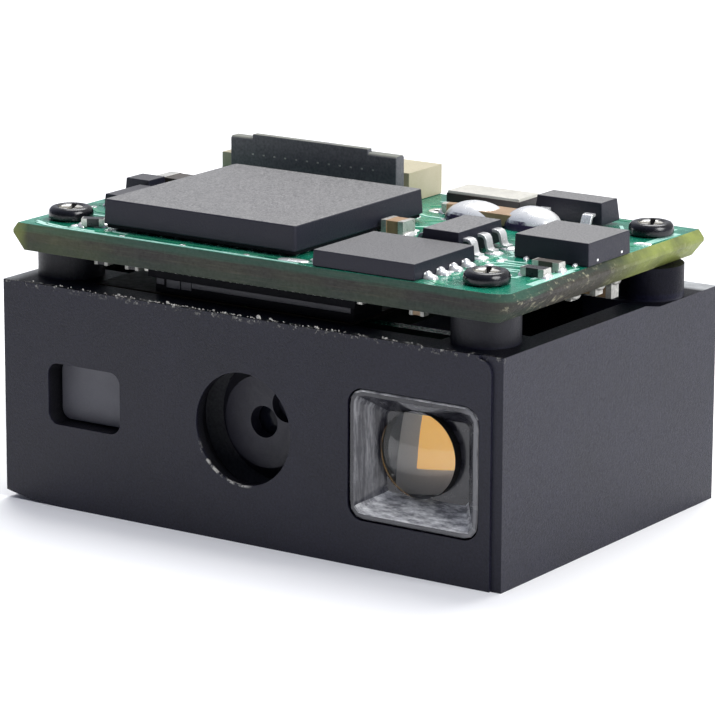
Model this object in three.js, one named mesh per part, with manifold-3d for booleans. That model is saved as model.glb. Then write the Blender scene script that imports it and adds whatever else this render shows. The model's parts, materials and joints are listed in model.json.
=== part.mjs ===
// A compact 2-D imaging scan-engine module: a black moulded chassis with an aimer window, a camera lens
// and an illumination window, and a main circuit board on four posts above it.
// Millimetres, +Z up. The origin is the centre of the underside, and the front face looks along -Y.
import * as THREE from "three";
import { mergeVertices } from "three/addons/utils/BufferGeometryUtils.js";
import Module from "manifold-3d";

const wasm = await Module();
wasm.setup();

// ---------------------------------------------------------------- driving dimensions

const GAP = 0.02;          // between pieces that rest on each other
const FIT = 0.04;          // radial or side clearance of a piece in its pocket
const RUNNING = 0.05;      // radial clearance of a piece that turns
const ARC_STEPS = 6;       // straight steps in a quarter circle of a small corner
const ROUND_STEPS = 36;    // straight steps round a full circle

const CASE = { width: 21.5, depth: 14.75, height: 8.27, floor: 1.5, frontWall: 1.2, wall: 0.95 };
const EDGE_REBATE = { width: 0.42, depth: 0.1, cornerRadius: 0.5, top: 0.12 };
const UNDERCUT = { start: 8.25, rise: 0.3 };
const REAR_STEP = { start: 9.6, end: 10.6, drop: 0.2 };
const POST = { radius: 1.23, top: 9.29, pilotRadius: 0.52, pilotBottom: 7.0, pillar: 3.2 };
const POST_PLACES = [
  { name: "front_left", x: -9.3, depth: 2.2, screw: true },
  { name: "front_right", x: 8.92, depth: 1.88, screw: true },
  { name: "rear_left", x: -9.5, depth: 12.03, screw: false },
  { name: "rear_right", x: 9.5, depth: 12.03, screw: true },
];
const FRONT_PILLAR_BOTTOM = 6.65;
const MOUNT_HOLE = { x: 7.0, depthFromFront: 11.0, radius: 0.65, deep: 1.1 };

const BOARD = { width: 21.4, front: 0.55, rear: 13.8, bottom: 9.31, thickness: 1.0, corner: 1.0, hole: 0.6 };
const BOARD_SCORE = { topInset: 0.22, topDrop: 0.28, bottomInset: 0.5, bottomRise: 0.6 };
const BOARD_TOP = BOARD.bottom + BOARD.thickness;
const SEAT = BOARD_TOP + GAP;

const AIMER = { x: -7.1, z: 4.27, width: 3.27, height: 2.3, corner: 0.45, recess: 0.75, thickness: 0.5 };
const APERTURE = { x: 0, z: 4.2, radius: 2.05, lip: 0.4, relief: 2.5 };
const LAMP = { x: 7.17, z: 4.05, width: 5.4, height: 4.75, corner: 0.62 };
const DOME = { x: 6.97, z: 4.2, radius: 1.55, shoulder: 0.62, crown: 0.45, back: 1.35 };
const LAMP_LENS = { front: 0.03, back: 1.45, rim: 0.42, floor: 0.95, taper: 0.72 };
const AIMER_BULGE = { radius: 0.85, height: 0.42 };

const BARREL = { face: 1.3, headRadius: 1.7, headLength: 0.62, bodyRadius: 2.25, rear: 5.9, pupil: 0.58 };
const BARREL_BORE = { front: 1.82, step: 3.3, frontRadius: 1.55, rearRadius: 1.9 };
const FRONT_LENS = { radius: 1.5, front: 1.87, rear: 2.9, bulge: 0.25 };
const REAR_LENS = { radius: 1.84, front: 3.6, rear: 4.95, bulge: 0.3 };
const RETAINER = { bore: 1.2, front: 5.0, rear: 5.55 };
const NOTCH = { radius: 0.61, x: 0.97, z: 0.73, depth: 0.42 };
const HOLDER = { width: 6.9, front: 2.0, rear: 8.3, bottom: 1.52, top: 7.4, tunnel: 1.75 };
const FILTER = { width: 4.6, height: 4.2, pocket: 0.6, thickness: 0.46, inset: 0.1 };
const SENSOR = { width: 5.2, height: 4.4, thickness: 0.55 };
const SENSOR_GLASS = { width: 4.5, height: 3.7, thickness: 0.3 };
const SENSOR_BOARD = { width: 9.6, front: 9.55, thickness: 0.6, bottom: 1.54, top: 8.0 };
const LED_BOARD = { width: 19.2, front: 2.85, thickness: 0.5, bottom: 1.54, top: 8.0 };
const LED_BOARD_CUT = { slot: 7.2, bridge: 0.5, ear: 7.4 };
const LAMP_LED = { width: 2.6, height: 2.6, thickness: 0.6 };
const PHOSPHOR = { width: 1.75, height: 1.9, thickness: 0.16, corner: 0.12, shift: 0.1 };
const AIMER_LED = { width: 1.6, height: 1.0, thickness: 0.7 };
const FLEX = { left: -7.5, right: 3.55, front: 1.35, rear: 10.75, thickness: 0.12, top: 8.28, tail: 4.6 };
const BOARD_LINK = { x: -0.55, depth: 2.3, split: 8.84 };
const LINK_SOCKET = { length: 9.0, width: 2.2 };
const LINK_PLUG = { length: 8.6, width: 1.8 };

const SOCKET = { width: 8.23, length: 2.75, height: 1.12 };
const SOCKET_MOUTH = { inset: 0.65, height: 0.36, bottom: 0.34 };
const CONTACT = { count: 12, pitch: 0.5, width: 0.2, length: 0.95, height: 0.16 };
const LATCH = { x: -4.48, pivotDepth: 11.02, pivotZ: 10.86, width: 7.57, thickness: 0.55, height: 1.35 };
const LATCH_RIDGE = { x: -0.13, width: 5.27, thickness: 0.3, height: 0.15 };

const PROCESSOR = { width: 8.5, length: 8.2, height: 1.14, substrate: 0.26 };
const FLASH = { width: 4.0, length: 3.85, height: 0.58, pads: 4, pitch: 0.8 };
const POWER_CONTROLLER = { width: 3.05, length: 2.85, height: 0.84 };
const INTERFACE_CHIP = { width: 2.35, length: 2.2, height: 0.5 };
const DIODE = { width: 1.14, length: 1.1, height: 0.65 };
const REGULATOR = { width: 1.62, length: 2.93, height: 0.8 };
const REGULATOR_LEAD = { inside: 0.5, shoulder: 0.98, toe: 1.42, height: 0.5, width: 0.4 };
const TRANSISTOR = { width: 2.9, length: 1.3, height: 0.82 };
const TRANSISTOR_LEAD = { inside: 0.4, shoulder: 0.78, toe: 1.15, height: 0.4, width: 0.42 };
const BULK_CAPACITOR = { length: 3.6, width: 1.35, height: 0.5 };
const CRYSTAL = { width: 3.2, length: 1.5, height: 0.6, lid: 0.1 };
const LEAD_PITCH = 0.95;   // small-outline packages
const LEAD_THICKNESS = 0.13;
const STAND_OFF = 0.1;     // of a leaded package's body above its pads

// Where each package stands on the board: X, then the distance behind the front face.
const PLACES = {
  processor: [-2.85, 5.35],
  flash_memory: [4.8, 2.55],
  power_controller: [9.03, 7.32],
  voltage_regulator: [5.26, 6.02],
  transistor: [6.15, 12.4],
  crystal: [2.35, 12.7],
  bulk_capacitor: [4.0, 10.5],
  interface_chip: [-8.37, 5.58],
  rear_left_diode: [-9.73, 7.3],
  cable_socket: [-4.785, 12.45],
};

// ---------------------------------------------------------------- small helpers

/** Turns a distance behind the front face into a Y coordinate. */
const behind = (depth) => depth - CASE.depth / 2;

function finish(color, roughness, metalness = 0) {
  return new THREE.MeshStandardMaterial({ color, roughness, metalness });
}

const FINISH = {
  chassis: finish(0x26262b, 0.75),
  blackPlastic: finish(0x1d1f23, 0.55),
  fr4: finish(0x1f6a4c, 0.35),
  flex: finish(0x6b4a16, 0.45),
  moulding: finish(0x77777a, 0.6),
  ivory: finish(0xd8d1b4, 0.5),
  clear: finish(0xc9cccd, 0.08),
  frosted: finish(0x4a4b52, 0.55),
  glass: finish(0x1b2233, 0.05),
  ceramic: finish(0xe4e2da, 0.5),
  phosphor: finish(0xe3a545, 0.6),
  solderedPart: finish(0xb9b4aa, 0.35, 0.6),
  lid: finish(0xcfccc0, 0.3, 0.8),
  screw: finish(0x24242a, 0.35, 0.7),
  barrel: finish(0x2e2f35, 0.6),
};

/** A manifold solid from a closed three.js geometry. */
function solid(geometry) {
  const bare = geometry.index ? geometry.toNonIndexed() : geometry.clone();
  bare.deleteAttribute("normal");
  bare.deleteAttribute("uv");
  const merged = mergeVertices(bare, 1e-4);
  const vertProperties = new Float32Array(merged.attributes.position.array);
  const triVerts = new Uint32Array(merged.index.array);
  return new wasm.Manifold(new wasm.Mesh({ numProp: 3, vertProperties, triVerts }));
}

/** Joins or cuts geometries: shape(base).add(a, b).cut(c).geometry(). */
function shape(base) {
  let body = solid(base);
  const editor = {
    add(...pieces) {
      for (const piece of pieces) body = body.add(solid(piece));
      return editor;
    },
    cut(...pieces) {
      for (const piece of pieces) body = body.subtract(solid(piece));
      return editor;
    },
    geometry() {
      const { vertProperties, triVerts } = body.getMesh();
      const result = new THREE.BufferGeometry();
      result.setAttribute("position", new THREE.BufferAttribute(new Float32Array(vertProperties), 3));
      result.setIndex(new THREE.BufferAttribute(new Uint32Array(triVerts), 1));
      const faceted = result.toNonIndexed();
      faceted.computeVertexNormals();
      return faceted;
    },
  };
  return editor;
}

/** A box given by its width, depth and height, with the centre of its base at (x, y, z). */
function block(width, depth, height, x = 0, y = 0, z = 0) {
  return new THREE.BoxGeometry(width, depth, height).translate(x, y, z + height / 2);
}

/** A box given by its ranges along X, behind the front face, and along Z. */
function boxBetween([x0, x1], [d0, d1], [z0, z1]) {
  return block(x1 - x0, d1 - d0, z1 - z0, (x0 + x1) / 2, behind((d0 + d1) / 2), z0);
}

/** An upright round bar or hole along Z. */
function upright(radius, z0, z1, x, y, steps = ROUND_STEPS) {
  const bar = new THREE.CylinderGeometry(radius, radius, z1 - z0, steps);
  return bar.rotateX(Math.PI / 2).translate(x, y, (z0 + z1) / 2);
}

/** A round bar or hole along Y, given by how far behind the front face it starts and ends. */
function lengthwise(radius, d0, d1, x, z, steps = ROUND_STEPS) {
  return new THREE.CylinderGeometry(radius, radius, d1 - d0, steps).translate(x, behind((d0 + d1) / 2), z);
}

/** A rectangle with rounded corners, centred on (x, y). */
function roundedRectangle(width, height, radius, x = 0, y = 0) {
  const outline = new THREE.Shape();
  const right = x + width / 2 - radius;
  const left = x - width / 2 + radius;
  const top = y + height / 2 - radius;
  const bottom = y - height / 2 + radius;
  outline.absarc(right, top, radius, 0, Math.PI / 2);
  outline.absarc(left, top, radius, Math.PI / 2, Math.PI);
  outline.absarc(left, bottom, radius, Math.PI, Math.PI * 1.5);
  outline.absarc(right, bottom, radius, Math.PI * 1.5, Math.PI * 2);
  outline.closePath();
  return outline;
}

/** Extrudes an outline drawn in X and Z along Y, between two distances behind the front face. */
function extrudeBack(outline, d0, d1) {
  const options = { depth: d1 - d0, bevelEnabled: false, curveSegments: ARC_STEPS };
  return new THREE.ExtrudeGeometry(outline, options).rotateX(Math.PI / 2).translate(0, behind(d1), 0);
}

/** Extrudes a profile drawn as points of [Y, Z] along X, centred on x. */
function extrudeAcross(points, width, x = 0) {
  const outline = new THREE.Shape(points.map(([y, z]) => new THREE.Vector2(y, z)));
  const bar = new THREE.ExtrudeGeometry(outline, { depth: width, bevelEnabled: false });
  return bar.rotateX(Math.PI / 2).rotateZ(Math.PI / 2).translate(x - width / 2, 0, 0);
}

/** A body of revolution about Y through (x, z), from points of [radius, distance behind the front face]. */
function turnedAlongY(points, x, z) {
  const profile = points.map(([radius, depth]) => new THREE.Vector2(radius, behind(depth)));
  return new THREE.LatheGeometry(profile, ROUND_STEPS).translate(x, 0, z);
}

/** A body of revolution about Z, from points of [radius, height]. */
function turnedAlongZ(points, steps = ROUND_STEPS) {
  const profile = points.map(([radius, height]) => new THREE.Vector2(radius, height));
  return new THREE.LatheGeometry(profile, steps).rotateX(Math.PI / 2);
}

function addMesh(group, name, geometry, material, x = 0, y = 0, z = 0) {
  const mesh = new THREE.Mesh(geometry, material);
  mesh.name = name;
  mesh.position.set(x, y, z);
  group.add(mesh);
  return mesh;
}

const SCREW_PLACES = POST_PLACES.filter(({ screw }) => screw);

// ---------------------------------------------------------------- chassis

/** The open tray under the board, with a full-height pillar in each rear corner. */
function chassisTray() {
  const outer = block(CASE.width, CASE.depth, CASE.height);
  const half = CASE.width / 2 - CASE.wall;
  const pocket = shape(
    boxBetween([-half, half], [CASE.frontWall, CASE.depth - CASE.wall], [CASE.floor, CASE.height + 1]),
  );
  const pillarFront = CASE.depth - CASE.wall - POST.pillar;
  for (const side of [-1, 1]) {
    const x = (side * (CASE.width - POST.pillar)) / 2;
    const across = [x - POST.pillar / 2, x + POST.pillar / 2];
    pocket.cut(boxBetween(across, [pillarFront, CASE.depth], [0, CASE.height + 2]));
  }
  return shape(outer).cut(pocket.geometry());
}

/** The two front pillars are short, so that the LED board passes under them behind the windows. */
function frontPillars() {
  const overlap = 0.1;
  const width = POST.pillar - CASE.wall + overlap;
  const depths = [CASE.frontWall - overlap, LED_BOARD.front + LED_BOARD.thickness];
  return [-1, 1].map((side) => {
    const x = side * (CASE.width / 2 - CASE.wall - width / 2 + overlap);
    return boxBetween([x - width / 2, x + width / 2], depths, [FRONT_PILLAR_BOTTOM, CASE.height]);
  });
}

/** The lower left edge is relieved: the underside rises slowly towards the left side face. */
function lowerLeftRelief() {
  const start = -UNDERCUT.start;
  const end = -CASE.width / 2;
  const outline = new THREE.Shape();
  outline.moveTo(start, 0);
  outline.quadraticCurveTo((start + end) / 2, 0.02, end, UNDERCUT.rise);
  outline.lineTo(end - 1, UNDERCUT.rise);
  outline.lineTo(end - 1, -1);
  outline.lineTo(start, -1);
  outline.closePath();
  return extrudeBack(outline, -1, CASE.depth + 1);
}

/** The top of the walls falls a little ahead of the rear posts and stays low behind them. */
function rearStep() {
  const { start, end, drop } = REAR_STEP;
  const beyond = behind(CASE.depth + 1);
  const profile = [
    [behind(start), CASE.height], [behind(end), CASE.height - drop], [beyond, CASE.height - drop],
    [beyond, CASE.height + 1], [behind(start), CASE.height + 1],
  ];
  return extrudeAcross(profile, CASE.width + 2);
}

/** The front face is a slightly raised panel that stops short of the right edge. */
function frontEdgeRebate() {
  const { width, depth, cornerRadius, top } = EDGE_REBATE;
  const right = CASE.width / 2;
  const height = CASE.height - top;
  const outline = new THREE.Shape();
  outline.moveTo(right - width, -1);
  outline.lineTo(right - width, height - cornerRadius);
  outline.absarc(right - width - cornerRadius, height - cornerRadius, cornerRadius, 0, Math.PI / 2);
  outline.lineTo(right - width - cornerRadius, CASE.height + 1);
  outline.lineTo(right + 1, CASE.height + 1);
  outline.lineTo(right + 1, -1);
  outline.closePath();
  return extrudeBack(outline, -1, depth);
}

function chassisGeometry() {
  const { frontWall } = CASE;
  const body = chassisTray();
  body.add(...frontPillars());
  body.cut(rearStep());
  for (const { x, depth } of POST_PLACES) {
    body.add(upright(POST.radius, CASE.height - 0.5, POST.top, x, behind(depth)));
  }
  for (const { x, depth } of SCREW_PLACES) {
    body.cut(upright(POST.pilotRadius, POST.pilotBottom, POST.top + 1, x, behind(depth), 24));
  }
  body.cut(extrudeBack(roundedRectangle(AIMER.width, AIMER.height, AIMER.corner, AIMER.x, AIMER.z), -1, 2));
  body.cut(extrudeBack(roundedRectangle(LAMP.width, LAMP.height, LAMP.corner, LAMP.x, LAMP.z), -1, 2));
  body.cut(lengthwise(APERTURE.radius, -1, frontWall + 0.5, APERTURE.x, APERTURE.z, 56));
  body.cut(lengthwise(APERTURE.relief, APERTURE.lip, frontWall + 0.5, APERTURE.x, APERTURE.z, 56));
  for (const side of [-1, 1]) {
    const { x, depthFromFront, radius, deep } = MOUNT_HOLE;
    body.cut(upright(radius, -1, deep, side * x, behind(depthFromFront), 24));
    body.cut(block(1, CASE.depth, 2 * CASE.height, (side * (CASE.width + 1)) / 2));
  }
  body.cut(lowerLeftRelief(), frontEdgeRebate());
  return body.geometry();
}

// ---------------------------------------------------------------- camera optics

/** The lens barrel: a stepped tube with a pupil hole in its face and a half-round spanner notch. */
function barrelGeometry() {
  const { face, headRadius, headLength, bodyRadius, rear, pupil } = BARREL;
  const bore = BARREL_BORE;
  const shoulder = face + headLength;
  return shape(turnedAlongY([
    [pupil, face], [headRadius, face], [headRadius, shoulder], [bodyRadius, shoulder], [bodyRadius, rear],
    [bore.rearRadius, rear], [bore.rearRadius, bore.step], [bore.frontRadius, bore.step],
    [bore.frontRadius, bore.front], [pupil, bore.front], [pupil, face],
  ], 0, 0))
    .cut(lengthwise(NOTCH.radius, face - 1, face + NOTCH.depth, NOTCH.x, NOTCH.z, 32))
    .geometry();
}

/** The block that carries the lens barrel in front and the infrared filter behind. */
function holderGeometry() {
  const { width, front, rear, bottom, top, tunnel } = HOLDER;
  const z = APERTURE.z;
  const body = shape(boxBetween([-width / 2, width / 2], [front, rear], [bottom, top]));
  body.cut(lengthwise(BARREL.bodyRadius + RUNNING, front - 1, BARREL.rear + 0.3, 0, z));
  body.cut(lengthwise(tunnel, BARREL.rear, rear + 1, 0, z));
  const upDown = [z - FILTER.height / 2, z + FILTER.height / 2];
  body.cut(boxBetween([-FILTER.width / 2, FILTER.width / 2], [rear - FILTER.pocket, rear + 1], upDown));
  return body.geometry();
}

/** A lens with two bulging faces and a straight rim. */
function lensGeometry({ radius, front, rear, bulge }) {
  const steps = 6;
  const points = [];
  for (let i = 0; i <= steps; i += 1) {
    const r = (radius * i) / steps;
    points.push([r, front + bulge * (r / radius) ** 2]);
  }
  for (let i = steps; i >= 0; i -= 1) {
    const r = (radius * i) / steps;
    points.push([r, rear - bulge * (r / radius) ** 2]);
  }
  return turnedAlongY(points, 0, 0);
}

function retainerGeometry() {
  const { bore, front, rear } = RETAINER;
  const rim = BARREL_BORE.rearRadius - FIT;
  return turnedAlongY([[bore, front], [rim, front], [rim, rear], [bore, rear], [bore, front]], 0, 0);
}

function filterGeometry() {
  const { width, height, thickness, inset } = FILTER;
  const outline = roundedRectangle(width - 2 * FIT, height - 2 * FIT, 0.15, 0, APERTURE.z);
  const rear = HOLDER.rear - inset;
  return extrudeBack(outline, rear - thickness, rear);
}

/** A flat box standing in X and Z, centred on (x, z), with its back at a distance behind the front face. */
function uprightPlate({ width, height, thickness }, x, z, back) {
  const across = [x - width / 2, x + width / 2];
  return boxBetween(across, [back - thickness, back], [z - height / 2, z + height / 2]);
}

function sensorGeometry() {
  const overlap = 0.05;
  const back = SENSOR_BOARD.front - GAP;
  const cover = { ...SENSOR_GLASS, thickness: SENSOR_GLASS.thickness + overlap };
  return shape(uprightPlate(SENSOR, 0, APERTURE.z, back))
    .add(uprightPlate(cover, 0, APERTURE.z, back - SENSOR.thickness + overlap))
    .geometry();
}

function sensorBoardGeometry() {
  const { width, front, thickness, bottom, top } = SENSOR_BOARD;
  const middle = (bottom + top) / 2;
  return extrudeBack(roundedRectangle(width, top - bottom, 0.4, 0, middle), front, front + thickness);
}

/** The flex that joins the image sensor's board to the main board: flat on top, bent down at the rear. */
function flexGeometry() {
  const { left, right, front, rear, thickness, top, tail } = FLEX;
  const bend = 0.5;
  const outer = [];
  const inner = [];
  for (let i = 0; i <= ARC_STEPS; i += 1) {
    const angle = (Math.PI / 2) * (1 - i / ARC_STEPS);
    outer.push([behind(rear - bend) + bend * Math.cos(angle), top - bend + bend * Math.sin(angle)]);
    const r = bend - thickness;
    inner.push([behind(rear - bend) + r * Math.cos(angle), top - bend + r * Math.sin(angle)]);
  }
  const points = [
    [behind(front), top - thickness], [behind(front), top], ...outer,
    [behind(rear), tail], [behind(rear) - thickness, tail], ...inner.reverse(),
  ];
  return extrudeAcross(points.reverse(), right - left, (left + right) / 2);
}

// ---------------------------------------------------------------- aimer and illumination

/** A quarter ellipse from the rim at (radius, start) to the axis, as points of [radius, depth]. */
function crownPoints(radius, start, rise, steps = 7) {
  const points = [];
  for (let i = 0; i <= steps; i += 1) {
    const angle = (Math.PI / 2) * (i / steps);
    points.push([radius * Math.cos(angle), start + rise * Math.sin(angle)]);
  }
  return points;
}

/** The aimer window: a flat plate with a small lens on its back. */
function aimerLensGeometry() {
  const { width, height, corner, x, z, recess, thickness } = AIMER;
  const plate = roundedRectangle(width - 2 * FIT, height - 2 * FIT, corner - FIT, x, z);
  const start = recess + thickness - 0.05;
  const bulge = [[0, start], ...crownPoints(AIMER_BULGE.radius, start, AIMER_BULGE.height)];
  return shape(extrudeBack(plate, recess, recess + thickness))
    .add(turnedAlongY(bulge, x, z))
    .geometry();
}

/** The clear illumination lens: a flanged frame whose inner walls slope down to a domed lens. */
function lampLensGeometry() {
  const { width, height, corner, x, z } = LAMP;
  const { front, back, rim, floor, taper } = LAMP_LENS;
  const outer = roundedRectangle(width - 2 * FIT, height - 2 * FIT, corner - FIT, x, z);
  const well = new THREE.CylinderGeometry(Math.SQRT2, Math.SQRT2 * taper, floor, 4, 1);
  well.rotateY(Math.PI / 4).rotateX(Math.PI).scale(width / 2 - rim, 1, height / 2 - rim);
  const crown = crownPoints(DOME.radius, DOME.shoulder, -DOME.crown).reverse();
  return shape(extrudeBack(outer, front, back))
    .cut(well.translate(x, behind(front + floor / 2 - 0.001), z))
    .add(turnedAlongY([...crown, [DOME.radius, DOME.back], [0, DOME.back]], DOME.x, DOME.z))
    .geometry();
}

/** The board that carries both LEDs: it straddles the lens holder and clears the front pillars. */
function ledBoardGeometry() {
  const { width, front, thickness, bottom, top } = LED_BOARD;
  const { slot, bridge, ear } = LED_BOARD_CUT;
  const outline = roundedRectangle(width, top - bottom, 0.3, 0, (bottom + top) / 2);
  const through = [front - 1, front + 2];
  const earHeight = [FRONT_PILLAR_BOTTOM - 0.15, top + 1];
  return shape(extrudeBack(outline, front, front + thickness))
    .cut(boxBetween([-slot / 2, slot / 2], through, [bottom - 1, top - bridge]))
    .cut(boxBetween([ear, width], through, earHeight), boxBetween([-width, -ear], through, earHeight))
    .geometry();
}

// ---------------------------------------------------------------- board and its fasteners

/** The waste that a scoring wheel takes from one side edge, leaving a blunt ridge half way up. */
function scoredWaste(side) {
  const { topInset, topDrop, bottomInset, bottomRise } = BOARD_SCORE;
  const edge = BOARD.width / 2;
  const waste = new THREE.Shape();
  waste.moveTo(side * (edge - bottomInset), BOARD.bottom);
  waste.lineTo(side * edge, BOARD.bottom + bottomRise);
  waste.lineTo(side * edge, BOARD_TOP - topDrop);
  waste.lineTo(side * (edge - topInset), BOARD_TOP);
  waste.lineTo(side * (edge - topInset), BOARD_TOP + 1);
  waste.lineTo(side * (edge + 1), BOARD_TOP + 1);
  waste.lineTo(side * (edge + 1), BOARD.bottom - 1);
  waste.lineTo(side * (edge - bottomInset), BOARD.bottom - 1);
  waste.closePath();
  return extrudeBack(waste, -1, CASE.depth + 1);
}

/** The board's outline: snapped square at three corners and routed round at the front right one. */
function boardOutline() {
  const { width, front, rear, corner } = BOARD;
  const side = width / 2;
  const outline = new THREE.Shape();
  outline.moveTo(-side, behind(rear));
  outline.lineTo(-side, behind(front));
  outline.lineTo(side - corner, behind(front));
  outline.absarc(side - corner, behind(front + corner), corner, -Math.PI / 2, 0);
  outline.lineTo(side, behind(rear));
  outline.closePath();
  return outline;
}

function mainBoardGeometry() {
  const { bottom, hole } = BOARD;
  const options = { depth: BOARD.thickness, bevelEnabled: false, curveSegments: ARC_STEPS };
  const board = shape(new THREE.ExtrudeGeometry(boardOutline(), options).translate(0, 0, bottom));
  for (const { x, depth } of SCREW_PLACES) {
    board.cut(upright(hole, bottom - 1, BOARD_TOP + 1, x, behind(depth)));
  }
  return board.cut(scoredWaste(-1), scoredWaste(1)).geometry();
}

/** A pan-head screw with a cross recess, standing on its own head seat at z = 0. */
function screwGeometry() {
  const shank = POST.pilotRadius - FIT;
  const bottom = POST.pilotBottom + 0.2 - SEAT;
  const body = shape(turnedAlongZ([
    [0, bottom], [shank * 0.6, bottom], [shank, bottom + 0.25], [shank, 0], [0.83, 0], [0.83, 0.26],
    [0.74, 0.4], [0.55, 0.46], [0, 0.46],
  ], 28));
  for (const turn of [0, Math.PI / 2]) body.cut(block(0.84, 0.2, 0.4, 0, 0, 0.2).rotateZ(turn + 0.4));
  return body.geometry();
}

/** One half of the fine-pitch link between the flex and the underside of the board. */
function boardLinkHalf(z0, z1, { length, width }) {
  const { x, depth } = BOARD_LINK;
  return boxBetween([x - length / 2, x + length / 2], [depth - width / 2, depth + width / 2], [z0, z1]);
}

// ---------------------------------------------------------------- packages on the board

/** A moulded package with slightly sloping sides, standing on z = 0. */
function mouldedPackage({ width, length, height }, draft) {
  const cone = new THREE.CylinderGeometry(Math.SQRT1_2 * (1 - draft), Math.SQRT1_2, height, 4, 1);
  return cone.rotateY(Math.PI / 4).rotateX(Math.PI / 2).scale(width, length, 1).translate(0, 0, height / 2);
}

/** A bent gull-wing lead along +X: out of the body at shoulder height and down to the pad. */
function gullWing({ inside, shoulder, toe, height, width }, y) {
  const t = LEAD_THICKNESS;
  const outline = new THREE.Shape();
  const corners = [
    [inside, height], [inside, height + t], [shoulder + t, height + t], [shoulder + t * 1.6, t], [toe, t],
    [toe, 0], [shoulder + t * 0.7, 0], [shoulder, height],
  ];
  corners.forEach(([x, z], i) => (i ? outline.lineTo(x, z) : outline.moveTo(x, z)));
  outline.closePath();
  const bar = new THREE.ExtrudeGeometry(outline, { depth: width, bevelEnabled: false });
  return bar.rotateX(Math.PI / 2).translate(0, y + width / 2, 0);
}

/** Leads in rows on the left and right sides of a package. */
function leadRows(count, pitch, lead) {
  const leads = [];
  for (const side of [0, Math.PI]) {
    for (let i = 0; i < count; i += 1) {
      const y = (i - (count - 1) / 2) * pitch;
      leads.push(gullWing(lead, y).rotateZ(side));
    }
  }
  return leads;
}

/** A ball-grid package: a thin substrate with a moulded cap that leans in slightly. */
function processorGeometry() {
  const { width, length, height, substrate } = PROCESSOR;
  const cap = mouldedPackage({ width, length, height: height - substrate }, 0.03).translate(0, 0, substrate);
  return shape(block(width, length, substrate + 0.02)).add(cap).geometry();
}

/** A leadless package whose side pads show as small tabs. */
function flashGeometry() {
  const { width, pads, pitch } = FLASH;
  const body = shape(mouldedPackage(FLASH, 0.01));
  for (const side of [-1, 1]) {
    for (let i = 0; i < pads; i += 1) {
      body.add(block(0.6, 0.36, 0.16, (side * width) / 2, (i - (pads - 1) / 2) * pitch));
    }
  }
  return body.geometry();
}

/** A six-lead package, three gull-wing leads a side. */
function regulatorGeometry() {
  return shape(mouldedPackage(REGULATOR, 0.06).translate(0, 0, STAND_OFF))
    .add(...leadRows(3, LEAD_PITCH, REGULATOR_LEAD))
    .geometry();
}

/** A three-lead transistor: two leads at the front, one at the rear. */
function transistorGeometry() {
  const front = [-LEAD_PITCH, LEAD_PITCH].map((y) => gullWing(TRANSISTOR_LEAD, y).rotateZ(-Math.PI / 2));
  const rear = gullWing(TRANSISTOR_LEAD, 0).rotateZ(Math.PI / 2);
  return shape(mouldedPackage(TRANSISTOR, 0.07).translate(0, 0, STAND_OFF))
    .add(...front, rear)
    .geometry();
}

/** A ceramic crystal package with a slightly smaller metal lid. */
function crystalGeometry() {
  const { width, length, height, lid } = CRYSTAL;
  return shape(block(width, length, height - lid))
    .add(block(width - 0.14, length - 0.14, lid + 0.02, 0, 0, height - lid - 0.02))
    .geometry();
}

/** A two-terminal chip part along X: a ceramic body with a wrapped metal cap on each end. */
function chipGeometry({ length, width, height }) {
  const cap = length * 0.24;
  const body = shape(block(length * 0.9, width * 0.94, height * 0.94, 0, 0, 0.02));
  for (const side of [-1, 1]) body.add(block(cap, width, height, (side * (length - cap)) / 2, 0, 0));
  return body.geometry();
}

// Chip parts on the top of the board: name, x, distance behind the front, turn, length, width, height.
const TOP_CHIPS = [
  ["chip_by_front_left_screw", -7.75, 1.55, 0.5, 0.85, 0.42, 0.3],
  ["chip_right_of_processor", 2.05, 6.75, 0, 0.95, 0.8, 0.55],
  ["chip_rear_left", -8.8, 8.47, 0, 2.0, 1.1, 0.58],
  ["chip_behind_processor", 1.65, 11.05, 0.3, 0.8, 0.42, 0.35],
  ["chip_before_power_a", 9.58, 4.82, 0, 1.1, 0.42, 0.32],
  ["chip_before_power_b", 9.72, 3.75, 0, 0.95, 0.5, 0.3],
];

// Chip parts hanging under the board: name, x, distance behind the front, length, width, height.
const UNDER_CHIPS = [
  ["under_chip_left_a", -7.23, 1.45, 0.6, 0.35, 0.3],
  ["under_chip_left_b", -5.8, 1.4, 0.6, 0.35, 0.3],
  ["under_chip_front_right", 6.55, 1.3, 0.6, 0.35, 0.3],
  ["under_chip_right_a", 9.6, 5.75, 1.0, 0.5, 0.16],
  ["under_chip_right_b", 9.55, 7.5, 1.0, 0.5, 0.3],
  ["under_chip_right_c", 9.55, 8.6, 1.0, 0.5, 0.62],
];

// ---------------------------------------------------------------- cable connector

/** The ivory socket for the flat cable: open at the rear, with solder tabs at its ends. */
function socketGeometry() {
  const { width, length, height } = SOCKET;
  const front = -length / 2;
  const body = shape(block(width, length, height));
  const mouth = SOCKET_MOUTH;
  body.cut(block(width - 2 * mouth.inset, length, mouth.height, 0, 1, mouth.bottom));
  const slotLeft = LATCH.x - PLACES.cable_socket[0] - LATCH.width / 2 - RUNNING;
  body.cut(block(width, 0.8, height, slotLeft + width / 2, front + 0.1, 0.2));
  for (let i = 0; i < CONTACT.count; i += 1) {
    const x = (i - (CONTACT.count - 1) / 2) * CONTACT.pitch;
    body.add(block(CONTACT.width, CONTACT.length, CONTACT.height, x, front - 0.25, GAP));
  }
  return body.geometry();
}

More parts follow.
